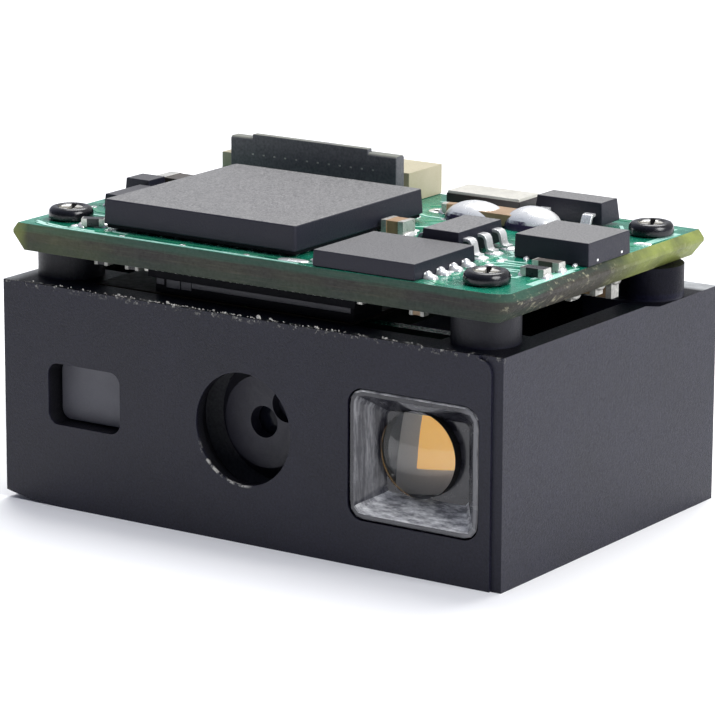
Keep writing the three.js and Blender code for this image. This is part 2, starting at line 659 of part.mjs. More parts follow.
/** The black flip lock, upright and open. Its pivot line is at the local origin. */
function latchGeometry() {
  const { width, thickness, height } = LATCH;
  const ridge = LATCH_RIDGE;
  const half = thickness / 2;
  const profile = [];
  for (let i = 0; i <= 8; i += 1) {
    const angle = Math.PI + (Math.PI * i) / 8;
    profile.push([half * Math.cos(angle), half * Math.sin(angle)]);
  }
  profile.push([half, height - 0.08], [half - 0.08, height], [-half + 0.08, height], [-half, height - 0.08]);
  const overlap = 0.2;
  const bar = block(ridge.width, ridge.thickness, ridge.height + overlap);
  return shape(extrudeAcross(profile, width))
    .add(bar.translate(ridge.x, ridge.thickness / 2 - half, height - overlap))
    .geometry();
}

// ---------------------------------------------------------------- assembly

const engine = new THREE.Group();
const optics = new THREE.Group();
const electronics = new THREE.Group();
engine.add(optics, electronics);

addMesh(engine, "chassis", chassisGeometry(), FINISH.chassis);

const opticalAxis = [APERTURE.x, 0, APERTURE.z];
addMesh(optics, "lens_barrel", barrelGeometry(), FINISH.barrel, ...opticalAxis);
addMesh(optics, "front_lens", lensGeometry(FRONT_LENS), FINISH.glass, ...opticalAxis);
addMesh(optics, "rear_lens", lensGeometry(REAR_LENS), FINISH.glass, ...opticalAxis);
addMesh(optics, "lens_retainer", retainerGeometry(), FINISH.blackPlastic, ...opticalAxis);
addMesh(optics, "lens_holder", holderGeometry(), FINISH.blackPlastic);
addMesh(optics, "infrared_filter", filterGeometry(), FINISH.glass);
addMesh(optics, "image_sensor", sensorGeometry(), FINISH.glass);
addMesh(optics, "sensor_board", sensorBoardGeometry(), FINISH.fr4);
addMesh(optics, "sensor_flex", flexGeometry(), FINISH.flex);

const ledBack = LED_BOARD.front - GAP;
const phosphorBack = ledBack - LAMP_LED.thickness - GAP;
const phosphorX = DOME.x + PHOSPHOR.shift;
const phosphor = roundedRectangle(PHOSPHOR.width, PHOSPHOR.height, PHOSPHOR.corner, phosphorX, DOME.z);
const phosphorPlate = extrudeBack(phosphor, phosphorBack - PHOSPHOR.thickness, phosphorBack);
addMesh(optics, "aimer_lens", aimerLensGeometry(), FINISH.frosted);
addMesh(optics, "illumination_lens", lampLensGeometry(), FINISH.clear);
addMesh(optics, "led_board", ledBoardGeometry(), FINISH.fr4);
addMesh(optics, "illumination_led", uprightPlate(LAMP_LED, DOME.x, DOME.z, ledBack), FINISH.ceramic);
addMesh(optics, "led_phosphor", phosphorPlate, FINISH.phosphor);
addMesh(optics, "aimer_led", uprightPlate(AIMER_LED, AIMER.x, AIMER.z, ledBack), FINISH.ceramic);

addMesh(electronics, "main_board", mainBoardGeometry(), FINISH.fr4);
for (const { name, x, depth } of SCREW_PLACES) {
  addMesh(electronics, `board_screw_${name}`, screwGeometry(), FINISH.screw, x, behind(depth), SEAT);
}
const linkTop = BOARD.bottom - GAP;
const linkBottom = FLEX.top + GAP;
const { split } = BOARD_LINK;
addMesh(electronics, "board_socket", boardLinkHalf(split + GAP, linkTop, LINK_SOCKET), FINISH.blackPlastic);
addMesh(electronics, "flex_plug", boardLinkHalf(linkBottom, split, LINK_PLUG), FINISH.blackPlastic);

const onBoard = (name, geometry, material, [x, depth] = PLACES[name]) =>
  addMesh(electronics, name, geometry, material, x, behind(depth), SEAT);

onBoard("processor", processorGeometry(), FINISH.moulding);
onBoard("flash_memory", flashGeometry(), FINISH.moulding);
onBoard("power_controller", mouldedPackage(POWER_CONTROLLER, 0.01), FINISH.moulding);
onBoard("voltage_regulator", regulatorGeometry(), FINISH.moulding);
onBoard("transistor", transistorGeometry(), FINISH.moulding);
onBoard("crystal", crystalGeometry(), FINISH.lid);
onBoard("bulk_capacitor", chipGeometry(BULK_CAPACITOR), FINISH.solderedPart);
onBoard("interface_chip", mouldedPackage(INTERFACE_CHIP, 0.02), FINISH.moulding);
onBoard("rear_left_diode", mouldedPackage(DIODE, 0.03), FINISH.moulding);
for (const [name, x, depth, turn, length, width, height] of TOP_CHIPS) {
  const chip = chipGeometry({ length, width, height });
  onBoard(name, chip, FINISH.solderedPart, [x, depth]).rotation.z = turn;
}
for (const [name, x, depth, length, width, height] of UNDER_CHIPS) {
  const chip = chipGeometry({ length, width, height });
  addMesh(electronics, name, chip, FINISH.solderedPart, x, behind(depth), BOARD.bottom - GAP - height);
}

onBoard("cable_socket", socketGeometry(), FINISH.ivory);
addMesh(
  electronics, "cable_latch", latchGeometry(), FINISH.blackPlastic,
  LATCH.x, behind(LATCH.pivotDepth), LATCH.pivotZ,
);

export default engine;
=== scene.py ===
"""Looks of a compact imaging scan engine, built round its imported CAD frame."""

import json
import math
import random

import bmesh
import bpy
from mathutils import Matrix, Vector


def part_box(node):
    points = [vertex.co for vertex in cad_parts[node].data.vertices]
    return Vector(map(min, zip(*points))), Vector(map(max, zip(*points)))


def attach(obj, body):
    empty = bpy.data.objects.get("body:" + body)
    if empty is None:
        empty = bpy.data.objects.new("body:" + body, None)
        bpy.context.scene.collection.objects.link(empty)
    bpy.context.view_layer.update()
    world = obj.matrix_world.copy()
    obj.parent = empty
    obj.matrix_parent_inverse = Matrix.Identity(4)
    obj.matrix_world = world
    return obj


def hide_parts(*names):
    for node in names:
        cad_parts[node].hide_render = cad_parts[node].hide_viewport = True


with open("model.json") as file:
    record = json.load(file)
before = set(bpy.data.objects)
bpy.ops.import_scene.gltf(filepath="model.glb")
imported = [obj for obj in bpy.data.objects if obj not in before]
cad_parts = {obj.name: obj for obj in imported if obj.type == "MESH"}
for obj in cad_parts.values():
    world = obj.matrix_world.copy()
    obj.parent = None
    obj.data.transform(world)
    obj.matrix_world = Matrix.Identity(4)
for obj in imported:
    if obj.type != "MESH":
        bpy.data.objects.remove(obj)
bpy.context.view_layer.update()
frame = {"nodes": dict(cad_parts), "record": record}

MM = 0.001                      # metres in a millimetre; pieces are shaped in millimetres
ENGINE, BARREL, LOCK = "engine_body", "focus_barrel", "cable_lock"


# ---- places from the frame

class Place:
    """The box round a CAD node, in millimetres."""

    def __init__(self, node):
        low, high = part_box(node)
        self.low = Vector(low) / MM
        self.high = Vector(high) / MM
        self.size = self.high - self.low
        self.centre = (self.low + self.high) / 2


BOARD = Place("main_board")
TOP = BOARD.high.z              # the upper surface of the main board
FRONT = Place("chassis").low.y  # the front face's Y
CASE_TOP = 8.27                 # top of the chassis walls, below the tops of its posts
APERTURE_HEIGHT = 4.2           # the middle of the camera's round aperture
APERTURE_RADIUS = 2.07
SINK = 0.005                    # how far tracks and pads are sunk into the board


def behind(depth):
    """The Y of a point that lies this far behind the front face."""
    return FRONT + depth


def spread(middle, count, pitch):
    """Evenly spaced places about a middle."""
    return [middle + (i - (count - 1) / 2) * pitch for i in range(count)]


def around(steps, shift=0.0):
    """Directions round a circle, as (cosine, sine)."""
    angles = [2 * math.pi * (i + shift) / steps for i in range(steps)]
    return [(math.cos(angle), math.sin(angle)) for angle in angles]


# ---- material tools

class Graph:
    """Adds shader nodes to a tree; a value is a number, a colour or another node's output."""

    def __init__(self, tree):
        self.tree = tree

    def link(self, source, target):
        self.tree.links.new(source, target)

    def feed(self, socket, value):
        """Links or sets one input."""
        if isinstance(value, bpy.types.NodeSocket):
            self.link(value, socket)
        elif isinstance(value, tuple) and socket.type == "RGBA":
            socket.default_value = (*value, 1.0)
        else:
            socket.default_value = value

    def node(self, kind, *values, **inputs):
        """A new node; values go to its first inputs in turn, the others by name."""
        made = self.tree.nodes.new("ShaderNode" + kind)
        for key, value in [*enumerate(values), *inputs.items()]:
            self.feed(made.inputs[key], value)
        return made

    def ramp(self, value, low, high, to_low=0.0, to_high=1.0):
        """A clamped linear change of range."""
        return self.node("MapRange", value, low, high, to_low, to_high).outputs["Result"]

    def mix(self, factor, a, b):
        """A colour between a and b."""
        made = self.node("Mix")
        made.data_type = "RGBA"
        for index, value in ((0, factor), (6, a), (7, b)):
            self.feed(made.inputs[index], value)
        return made.outputs[2]


class Look(Graph):
    """One node material in millimetre coordinates."""

    def __init__(self, name):
        self.material = bpy.data.materials.new(name)
        self.material.use_nodes = True
        super().__init__(self.material.node_tree)
        self.shader = self.tree.nodes["Principled BSDF"]
        spot = self.node("TexCoord").outputs["Object"]
        self.place = self.node("Mapping", spot, Scale=(1 / MM, 1 / MM, 1 / MM)).outputs[0]

    def stretched(self, x, y, z):
        """Coordinates multiplied on each axis, for grain that runs one way."""
        return self.node("Mapping", self.place, Scale=(x, y, z)).outputs[0]

    def noise(self, scale, detail=3.0, roughness=0.55, place=None):
        """Noise with about this many features to the millimetre."""
        place = place or self.place
        return self.node("TexNoise", place, Scale=scale, Detail=detail, Roughness=roughness).outputs[0]

    def uneven(self, low, high, scale, detail=3.0):
        """A number that drifts between low and high."""
        return self.ramp(self.noise(scale, detail), 0.3, 0.7, low, high)

    def math(self, operation, a, b=0.0):
        made = self.node("Math", a, b)
        made.operation = operation
        return made.outputs[0]

    def product(self, *values):
        result = values[0]
        for value in values[1:]:
            result = self.math("MULTIPLY", result, value)
        return result

    def part(self, vector, axis):
        return self.node("SeparateXYZ", vector).outputs[axis]

    def facing(self, axis):
        """The X, Y or Z part of the face's own direction."""
        return self.part(self.node("NewGeometry").outputs["True Normal"], axis)

    def leaning(self, axis):
        """The same in the piece's own frame, for a piece that turns."""
        return self.part(self.node("TexCoord").outputs["Normal"], axis)

    def at(self, axis):
        """The X, Y or Z coordinate in millimetres."""
        return self.part(self.place, axis)

    def bump(self, height, microns):
        made = self.node("Bump", Strength=1.0, Distance=microns * 1e-6, Height=height)
        self.link(made.outputs["Normal"], self.shader.inputs["Normal"])

    def set(self, **values):
        """Sets or links the shader's own inputs; spaces are written as underscores."""
        for key, value in values.items():
            self.feed(self.shader.inputs[key.replace("_", " ")], value)


def grained_look(name, dark, light, roughness, grain, microns, blotch=0.6, **sockets):
    """A moulded or cast surface: slow colour drift, uneven gloss and a fine grain."""
    look = Look(name)
    speck = look.ramp(look.noise(grain * 1.7, 2.0), 0.35, 0.75, 0.0, 0.4)
    drift = look.uneven(0.0, 0.6, blotch, 4.0)
    look.set(Base_Color=look.mix(look.math("ADD", drift, speck), dark, light))
    look.set(Roughness=look.uneven(*roughness, grain * 0.5))
    look.bump(look.noise(grain, 4.0, 0.65), microns)
    look.set(**sockets)
    return look


def grained(*values, **sockets):
    """The finished material of such a surface."""
    return grained_look(*values, **sockets).material


# ---- shape tools

def new_object(name, bm):
    """An object from a bmesh, still in millimetres."""
    mesh = bpy.data.meshes.new(name)
    bmesh.ops.recalc_face_normals(bm, faces=bm.faces)
    bm.to_mesh(mesh)
    bm.free()
    obj = bpy.data.objects.new(name, mesh)
    bpy.context.scene.collection.objects.link(obj)
    return obj


def apply_modifiers(obj):
    graph = bpy.context.evaluated_depsgraph_get()
    mesh = bpy.data.meshes.new_from_object(obj.evaluated_get(graph))
    obj.modifiers.clear()
    obj.data = mesh


def shade(obj, angle):
    """Smooth shading across soft angles, with sharp edges kept."""
    bm = bmesh.new()
    bm.from_mesh(obj.data)
    limit = math.radians(angle)
    for face in bm.faces:
        face.smooth = True
    for edge in bm.edges:
        edge.smooth = len(edge.link_faces) == 2 and edge.calc_face_angle(0.0) <= limit
    bm.to_mesh(obj.data)
    bm.free()


def bevel(obj, width, segments=2):
    modifier = obj.modifiers.new("bevel", "BEVEL")
    modifier.width = width
    modifier.segments = segments
    modifier.limit_method = "ANGLE"
    modifier.angle_limit = math.radians(30.0)
    return obj


def settle(obj, looks, slot, body=ENGINE, replaces=None, angle=35.0, choose=None):
    """Turns a finished millimetre shape into a piece in metres that rides on its body.

    looks is one material or several; with several, choose(centre, normal) picks one for each face."""
    if obj.modifiers:
        apply_modifiers(obj)
    shade(obj, angle)
    even = obj.modifiers.new("even", "WEIGHTED_NORMAL")
    even.keep_sharp = True
    apply_modifiers(obj)
    looks = looks if isinstance(looks, (list, tuple)) else [looks]
    obj.data.materials.clear()
    for look in looks:
        obj.data.materials.append(look)
    if choose:
        for polygon in obj.data.polygons:
            polygon.material_index = choose(polygon.center, polygon.normal)
    obj.data.transform(Matrix.Scale(MM, 4))
    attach(obj, body)
    if replaces:
        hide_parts(replaces)


def from_cad(name, node):
    """A copy of a CAD node's mesh in millimetres, with its flat faces made whole."""
    mesh = frame["nodes"][node].data.copy()
    mesh.transform(Matrix.Scale(1 / MM, 4))
    bm = bmesh.new()
    bm.from_mesh(mesh)
    bmesh.ops.remove_doubles(bm, verts=bm.verts, dist=1e-4)
    bmesh.ops.dissolve_limit(bm, angle_limit=math.radians(1.0), verts=bm.verts, edges=bm.edges)
    return new_object(name, bm)


def softened(name, node, look, slot, width, segments=2, **options):
    """A CAD node's shape with small moulded radii along its edges."""
    settle(bevel(from_cad(name, node), width, segments), look, slot, replaces=node, **options)


def join_rings(bm, lower, upper):
    """A band of faces between two rings; a ring of one vertex closes to a point."""
    steps = max(len(lower), len(upper))
    for i in range(steps):
        j = (i + 1) % steps
        near = [lower[i % len(lower)], lower[j % len(lower)]]
        far = [upper[j % len(upper)], upper[i % len(upper)]]
        corners = list(dict.fromkeys(near + far))
        if len(corners) > 2:
            bm.faces.new(corners)


def add_box(bm, low, high, lean=0.0):
    """A box whose top is smaller by lean on every side."""
    corners = [(0, 0), (1, 0), (1, 1), (0, 1)]
    rings = []
    for z, inset in ((low[2], 0.0), (high[2], lean)):
        xs = (low[0] + inset, high[0] - inset)
        ys = (low[1] + inset, high[1] - inset)
        rings.append([bm.verts.new((xs[i], ys[j], z)) for i, j in corners])
    bottom, top = rings
    bm.faces.new(bottom[::-1])
    bm.faces.new(top)
    join_rings(bm, bottom, top)


def add_dome(bm, centre, half, height, turn=0.0, steps=14, rings=6, squareness=2.0):
    """A low rounded mound on a flat base: a solder joint, a ball or a raised dot."""
    def ring(scale, z):
        made = []
        for c, s in around(steps):
            reach = scale / (abs(c) ** squareness + abs(s) ** squareness) ** (1 / squareness)
            x, y = half[0] * reach * c, half[1] * reach * s
            made.append(bm.verts.new((
                centre[0] + x * math.cos(turn) - y * math.sin(turn),
                centre[1] + x * math.sin(turn) + y * math.cos(turn),
                centre[2] + z,
            )))
        return made

    rises = [math.pi / 2 * i / rings for i in range(rings)]
    loops = [ring(math.cos(rise), height * math.sin(rise)) for rise in rises]
    bm.faces.new(loops[0][::-1])
    loops.append([bm.verts.new((centre[0], centre[1], centre[2] + height))])
    for lower, upper in zip(loops, loops[1:]):
        join_rings(bm, lower, upper)


def crossings(path, width, least):
    """Half of a strip's width across each point of its path, made longer at the bends."""
    found = []
    for i, point in enumerate(path):
        before = (point - path[i - 1]).normalized() if i else (path[1] - point).normalized()
        after = (path[i + 1] - point).normalized() if i + 1 < len(path) else before
        along = (before + after).normalized()
        found.append(Vector((-along.y, along.x)) * (width / 2 / max(least, along.dot(after))))
    return found


def add_track(bm, points, width, thickness):
    """A flat strip on the board along points of (X, distance behind the front face)."""
    path = [Vector((x, behind(depth))) for x, depth in points]
    levels = (TOP - SINK, TOP - SINK + thickness)
    rows = []
    for point, across in zip(path, crossings(path, width, 0.5)):
        rows.append([bm.verts.new((*p, z)) for p in (point + across, point - across) for z in levels])
    for a, b in zip(rows, rows[1:]):
        bm.faces.new((a[1], b[1], b[3], a[3]))
        bm.faces.new((a[0], b[0], b[1], a[1]))
        bm.faces.new((a[3], b[3], b[2], a[2]))
    for row in (rows[0], rows[-1]):
        bm.faces.new((row[0], row[1], row[3], row[2]))


def add_lathe(bm, profile, centre, axis, steps):
    """A body turned about Z or Y from points of (radius, height); the ends may lie on the axis."""
    rings = []
    for radius, height in profile:
        count = 1 if radius < 1e-6 else steps
        ring = []
        for c, s in around(steps)[:count]:
            a, b = radius * c, radius * s
            spot = (a, b, height) if axis == "Z" else (a, height, b)
            ring.append(bm.verts.new(Vector(spot) + Vector(centre)))
        rings.append(ring)
    for lower, upper in zip(rings, rings[1:]):
        join_rings(bm, lower, upper)


# ---- materials

def chassis_look():
    """Matt black moulding with painted shade and painted light on it, and crumbs of flash along its cut
    edges.
    """
    look = Look("chassis_black")
    grain = look.noise(11.0, 5.0, 0.75)
    tone = look.math("ADD", look.ramp(grain, 0.36, 0.66, 0.0, 0.75), look.uneven(0.0, 0.25, 0.35, 4.0))
    base = look.mix(tone, (0.0015, 0.0015, 0.006), (0.011, 0.011, 0.026))
    side, depth, height = look.at(0), look.at(1), look.at(2)
    # painted shade on the walls inside the front windows and the aperture, and on the posts that rise above
    # the wall tops
    window_shade = look.product(
        look.ramp(depth, behind(0.05), behind(0.12)), look.ramp(depth, behind(1.9), behind(1.8)),
        look.ramp(look.math("ABSOLUTE", side), 10.1, 10.0),
        look.ramp(height, 6.7, 6.6), look.ramp(height, 1.5, 1.6),
    )
    above = look.ramp(height, CASE_TOP, CASE_TOP + 0.1, 0.0, 0.7)
    base = look.mix(look.math("MAXIMUM", window_shade, above), base, (0.003, 0.003, 0.005))

    # crumbs of flash along the upper front edge; round the aperture's lower left rim, flash crumbs mixed
    # with a painted highlight
    crumbs = look.ramp(look.noise(4.5, 6.0, 0.8), 0.55, 0.6)
    patches = look.ramp(look.noise(0.8, 2.0), 0.34, 0.5)
    edge = look.product(
        look.ramp(height, CASE_TOP - 0.2, CASE_TOP - 0.08), look.ramp(height, CASE_TOP + 0.02, CASE_TOP),
    )
    flash = look.product(edge, crumbs, patches, look.ramp(depth, behind(0.3), behind(0.2)), 0.6)
    rise = look.math("SUBTRACT", height, APERTURE_HEIGHT)
    reach = look.math("SQRT", look.math("ADD", look.product(side, side), look.product(rise, rise)))
    off_rim = look.math("ABSOLUTE", look.math("SUBTRACT", reach, APERTURE_RADIUS))
    rim = look.product(
        look.ramp(off_rim, 0.07, 0.02), look.ramp(rise, -0.6, -1.3), look.ramp(side, 0.4, 0.0),
        look.ramp(depth, behind(0.1), behind(0.05)), look.ramp(look.noise(2.0, 4.0, 0.7), 0.45, 0.55),
    )

    # painted shade on the wall tops under the board, and painted light on the outer ledges, where light
    # grazes them
    up = look.ramp(look.facing(2), 0.7, 0.9)
    left = look.ramp(side, -10.1, -10.6, 0.0, 0.55)
    outer = look.math("MAXIMUM", look.ramp(depth, behind(13.6), behind(14.0)), left)
    cloud = look.ramp(look.noise(1.5, 4.0), 0.2, 0.6, 0.6, 1.0)
    ledge_light = look.product(outer, up, cloud, look.ramp(height, CASE_TOP + 0.05, CASE_TOP + 0.02))
    wall_top_shade = look.product(up, look.ramp(height, CASE_TOP - 0.25, CASE_TOP - 0.2))
    base = look.mix(look.product(wall_top_shade, 0.85), base, (0.001, 0.001, 0.002))
    base = look.mix(ledge_light, base, (0.36, 0.37, 0.38))
    look.set(Base_Color=look.mix(look.math("MAXIMUM", flash, rim), base, (0.5, 0.49, 0.45)))
    # weaker reflection as painted shade on the wall tops and on the rear part above them, but not on the lit
    # ledges
    rear_post = look.product(
        look.ramp(height, CASE_TOP - 0.2, CASE_TOP - 0.1), look.ramp(depth, behind(9.5), behind(10.5)),
    )
    shaded = look.product(look.math("MAXIMUM", rear_post, wall_top_shade), look.math("SUBTRACT", 1.0, ledge_light))
    look.set(Roughness=look.uneven(0.38, 0.52, 14.0))
    look.set(Specular_IOR_Level=look.ramp(shaded, 0.0, 1.0, 0.37, 0.1))
    look.bump(look.math("ADD", grain, look.product(flash, 3.0)), 16)
    return look.material


def board_look():
    """Green solder mask above and below, sawn laminate on the edges: brown between two greener bands."""
    look = Look("board_green")
    weave = look.noise(7.0, 3.0)
    mask = look.mix(look.ramp(look.noise(0.7, 4.0), 0.35, 0.65), (0.004, 0.13, 0.075), (0.012, 0.24, 0.15))
    glare = look.ramp(look.noise(0.45, 5.0, 0.65), 0.52, 0.66, 0.0, 0.75)
    mask = look.mix(glare, mask, (0.13, 0.42, 0.3))
    side, depth = look.at(0), look.at(1)
    layers = look.noise(1.0, 5.0, 0.7, look.stretched(0.7, 0.7, 14.0))
    patches = look.ramp(look.noise(0.4, 3.0), 0.4, 0.6)
    height = look.math("ADD", look.at(2), look.ramp(layers, 0.3, 0.7, -0.09, 0.09))
    brown = look.mix(patches, (0.013, 0.0115, 0.009), (0.019, 0.02, 0.0105))
    olive = look.mix(patches, (0.009, 0.019, 0.011), (0.015, 0.026, 0.0125))
    sawn = look.mix(look.ramp(height, TOP - 0.74, TOP - 0.58), olive, brown)
    right = look.ramp(look.facing(0), 0.4, 0.8)
    routed = look.product(right, look.ramp(depth, behind(2.4), behind(3.6)))
    sawn = look.mix(routed, sawn, look.mix(patches, (0.022, 0.017, 0.014), (0.032, 0.028, 0.019)))
    green = look.math("SUBTRACT", look.ramp(height, TOP - 0.34, TOP - 0.2), look.product(routed, 0.75))
    sawn = look.mix(green, sawn, (0.009, 0.05, 0.03))
    sawn = look.mix(look.ramp(layers, 0.5, 0.72, 0.0, 0.3), sawn, (0.09, 0.088, 0.052))
    rear = look.product(look.ramp(side, 6.5, 10.4), look.ramp(depth, behind(7.0), behind(9.6)))
    fading = look.ramp(side, -5.0, -9.9, 0.0, 0.16)
    left = look.math("MAXIMUM", look.ramp(side, -9.9, -10.5), fading)
    cloud = look.ramp(look.noise(0.8, 3.0), 0.25, 0.6, 0.3, 1.0)
    lime = look.product(look.math("MAXIMUM", rear, left), cloud)
    sawn = look.mix(lime, sawn, (0.2, 0.235, 0.05))
    nearer = look.ramp(depth, behind(9.0), behind(5.5), 0.35, 1.0)
    crumbs = look.product(look.ramp(look.noise(3.2, 5.0, 0.8), 0.56, 0.66), right, nearer, 0.55)
    sawn = look.mix(crumbs, sawn, (0.5, 0.47, 0.32))
    flat = look.ramp(look.math("ABSOLUTE", look.facing(2)), 0.9, 0.97)
    raw = look.math("SUBTRACT", 1.0, flat)
    look.set(Base_Color=look.mix(flat, sawn, mask), Specular_IOR_Level=0.5)
    gloss = look.product(flat, look.ramp(weave, 0.3, 0.7, 0.16, 0.3))
    look.set(Roughness=look.math("ADD", gloss, look.product(raw, look.uneven(0.45, 0.7, 9.0))))
    look.bump(look.math("ADD", weave, look.product(layers, raw)), 9)
    return look.material


def moulding_look(name, level):
    """Epoxy moulding: almost black on its sides, with a pale grainy painted sheen on its top."""
    look = Look(name)
    grain = look.noise(12.0, 4.0, 0.8)
    side = look.mix(look.ramp(grain, 0.3, 0.7), (0.005, 0.005, 0.013), (0.013, 0.013, 0.024))
    top = look.mix(look.ramp(grain, 0.38, 0.62), (0.06, 0.059, 0.062), (0.26, 0.256, 0.252))
    top = look.mix(look.uneven(0.0, 0.3, 0.7), top, (0.17, 0.168, 0.166))
    up = look.ramp(look.facing(2), 0.75, 0.95)
    # the top's pale grain is a painted sheen; level sets how much of it shows
    look.set(Base_Color=look.mix(look.product(up, level), side, top), Specular_IOR_Level=0.4)
    look.set(Roughness=look.uneven(0.4, 0.55, 12.0))
    look.bump(grain, 11)
    return look.material


def lamp_frame_look():
    """Clear acrylic over a dark pocket: painted streaks of carried light, roughest on its lower wall."""
    look = Look("clear_plastic_frame")
    light_streaks = look.noise(1.0, 5.0, 0.75, look.stretched(2.0, 7.0, 0.5))
    cloud = look.noise(1.6, 4.0, 0.6)
    upward = look.ramp(look.facing(2), 0.2, 0.45)
    inward = look.ramp(look.facing(0), 0.2, 0.4)
    rim = look.mix(look.ramp(cloud, 0.35, 0.65), (0.008, 0.008, 0.013), (0.035, 0.035, 0.042))
    # painted light on the rim, stronger towards its outer side and its lower edge
    outer = look.ramp(look.at(0), 9.0, 9.7, 0.0, 0.8)
    lower = look.ramp(look.at(2), 2.3, 1.8, 0.0, 0.45)
    rim = look.mix(look.math("ADD", outer, lower), rim, (0.16, 0.16, 0.17))
    # painted streaks of light on the inner walls, darker towards their bottom
    wall = look.mix(look.ramp(light_streaks, 0.42, 0.62), (0.022, 0.022, 0.03), (0.2, 0.2, 0.21))
    wall = look.mix(look.ramp(look.at(2), 3.6, 2.4, 0.0, 0.6), wall, (0.03, 0.03, 0.036))
    # painted light on the upward faces, over a brushed grain
    brushed = look.noise(1.0, 5.0, 0.7, look.stretched(1.1, 4.5, 3.0))
    slope_light = look.mix(look.ramp(brushed, 0.4, 0.66), (0.2, 0.2, 0.21), (0.92, 0.92, 0.9))
    base = look.mix(upward, look.mix(inward, rim, wall), slope_light)
    look.set(Base_Color=base, Specular_IOR_Level=0.5, Coat_Weight=0.2)
    look.set(Roughness=look.ramp(cloud, 0.3, 0.7, 0.12, 0.3))
    look.bump(look.math("ADD", light_streaks, look.product(upward, brushed)), 12)
    return look.material


def latch_look():
    """Satin black moulding whose upward edges have worn to a pale olive grey."""
    look = Look("black_plastic")
    grain = look.noise(10.0, 4.0)
    base = look.mix(look.ramp(grain, 0.3, 0.7), (0.06, 0.062, 0.07), (0.11, 0.112, 0.122))
    worn = look.product(look.ramp(look.leaning(2), 0.3, 0.8), look.ramp(look.noise(1.2, 4.0), 0.25, 0.5))
    look.set(Base_Color=look.mix(worn, base, (0.17, 0.175, 0.145)))
    look.set(Roughness=look.uneven(0.4, 0.55, 6.0))
    look.bump(grain, 5)
    return look.material


def mound_look():
    """A large mound of solder: white above, a painted reflection of the dark packages round its foot."""
    look = Look("mound_solder")
    waver = look.math("ADD", look.facing(2), look.uneven(-0.16, 0.16, 1.6, 4.0))
    # painted reflection of the dark packages round the foot
    foot = look.product(look.ramp(waver, 0.52, 0.36), look.ramp(look.facing(1), -0.2, -0.5))
    look.set(Base_Color=look.mix(foot, (0.9, 0.9, 0.89), (0.06, 0.045, 0.1)), Metallic=0.5)
    look.set(Roughness=look.uneven(0.14, 0.3, 5.0))
    look.bump(look.noise(4.0, 3.0), 3)
    return look.material


def clear_look():
    look = Look("clear_plastic")
    look.set(Base_Color=look.mix(look.noise(1.5), (0.93, 0.93, 0.93), (0.8928, 0.8928, 0.8928)))
    look.set(Transmission_Weight=1.0, IOR=1.49, Roughness=look.uneven(0.02, 0.04, 3.0))
    look.bump(look.noise(2.0), 0.4)
    return look.material


def phosphor_look():
    look = grained_look("phosphor_yellow", (0.8, 0.4, 0.06), (0.9, 0.5, 0.1), (0.55, 0.7), 16, 4)
    # painted light: an emitted glow that brightens the phosphor
    painted_glow = look.mix(look.noise(3.0), (1.0, 0.5, 0.09), (1.0, 0.57, 0.12))
    look.set(Emission_Color=painted_glow, Emission_Strength=0.5)
    return look.material


CHASSIS_BLACK = chassis_look()
BOARD_GREEN = board_look()
MOULDING = moulding_look("moulding_grey", 1.0)
# copies with less painted sheen on top, for packages in shade
PART_SHADED_MOULDING = moulding_look("moulding_part_shaded", 0.72)
SHADED_MOULDING = moulding_look("moulding_shaded", 0.3)
LAMP_FRAME = lamp_frame_look()
CLEAR = clear_look()
PHOSPHOR = phosphor_look()
BLACK_PLASTIC = latch_look()
MOUND = mound_look()

# Each grained material: darker and lighter colour, roughness range, grain, bump in microns, blotches.
BARREL_BLACK = grained("barrel_black", (0.01, 0.01, 0.018), (0.022, 0.021, 0.034), (0.42, 0.55), 10, 6)
LINK_BLACK = grained("link_black", (0.0015, 0.0015, 0.003), (0.004, 0.004, 0.007), (0.5, 0.65), 14, 3,
                     Specular_IOR_Level=0.1)
LINK_GREY = grained("link_grey", (0.035, 0.035, 0.042), (0.075, 0.075, 0.088), (0.35, 0.5), 12, 3)
IVORY = grained("ivory_plastic", (0.38, 0.335, 0.21), (0.5, 0.455, 0.315), (0.4, 0.55), 14, 3)
TRACK_GREEN = grained("mask_over_copper", (0.03, 0.24, 0.13), (0.05, 0.32, 0.18), (0.14, 0.26), 8, 2)
SOLDER = grained("solder", (0.8, 0.8, 0.79), (0.95, 0.95, 0.94), (0.16, 0.32), 5, 3, 2.0, Metallic=0.55)
PLATING = grained("tin_plating", (0.42, 0.41, 0.37), (0.74, 0.73, 0.69), (0.25, 0.42), 10, 4, 2.0,
                  Metallic=0.6)
DULL_PLATING = grained("dull_plating", (0.2, 0.2, 0.18), (0.6, 0.59, 0.55), (0.35, 0.5), 7, 5, 3.0,
                       Metallic=0.4)
LID = grained("metal_lid", (0.55, 0.53, 0.46), (0.75, 0.73, 0.66), (0.3, 0.45), 8, 4, Metallic=0.4)
LID_BASE = grained("crystal_base", (0.018, 0.012, 0.014), (0.04, 0.025, 0.026), (0.4, 0.5), 14, 4)
SCREW_BLACK = grained("screw_black", (0.003, 0.003, 0.005), (0.009, 0.009, 0.012), (0.16, 0.3), 9, 4)
STEEL = grained("worn_steel", (0.55, 0.53, 0.47), (0.9, 0.88, 0.82), (0.2, 0.36), 6, 5, 2.5, Metallic=0.6)
FROSTED = grained("frosted_plastic", (0.075, 0.075, 0.09), (0.11, 0.11, 0.128), (0.42, 0.55), 12, 4, 0.7)
DARK_GLASS = grained("lens_glass", (0.004, 0.005, 0.009), (0.007, 0.008, 0.014), (0.1, 0.2), 4, 1,
                     Specular_IOR_Level=0.12)
CERAMIC = grained("ceramic_white", (0.5, 0.49, 0.45), (0.62, 0.61, 0.56), (0.35, 0.5), 16, 3)
TAN = grained("tan_ceramic", (0.28, 0.17, 0.09), (0.42, 0.28, 0.16), (0.35, 0.5), 12, 5, 1.5)
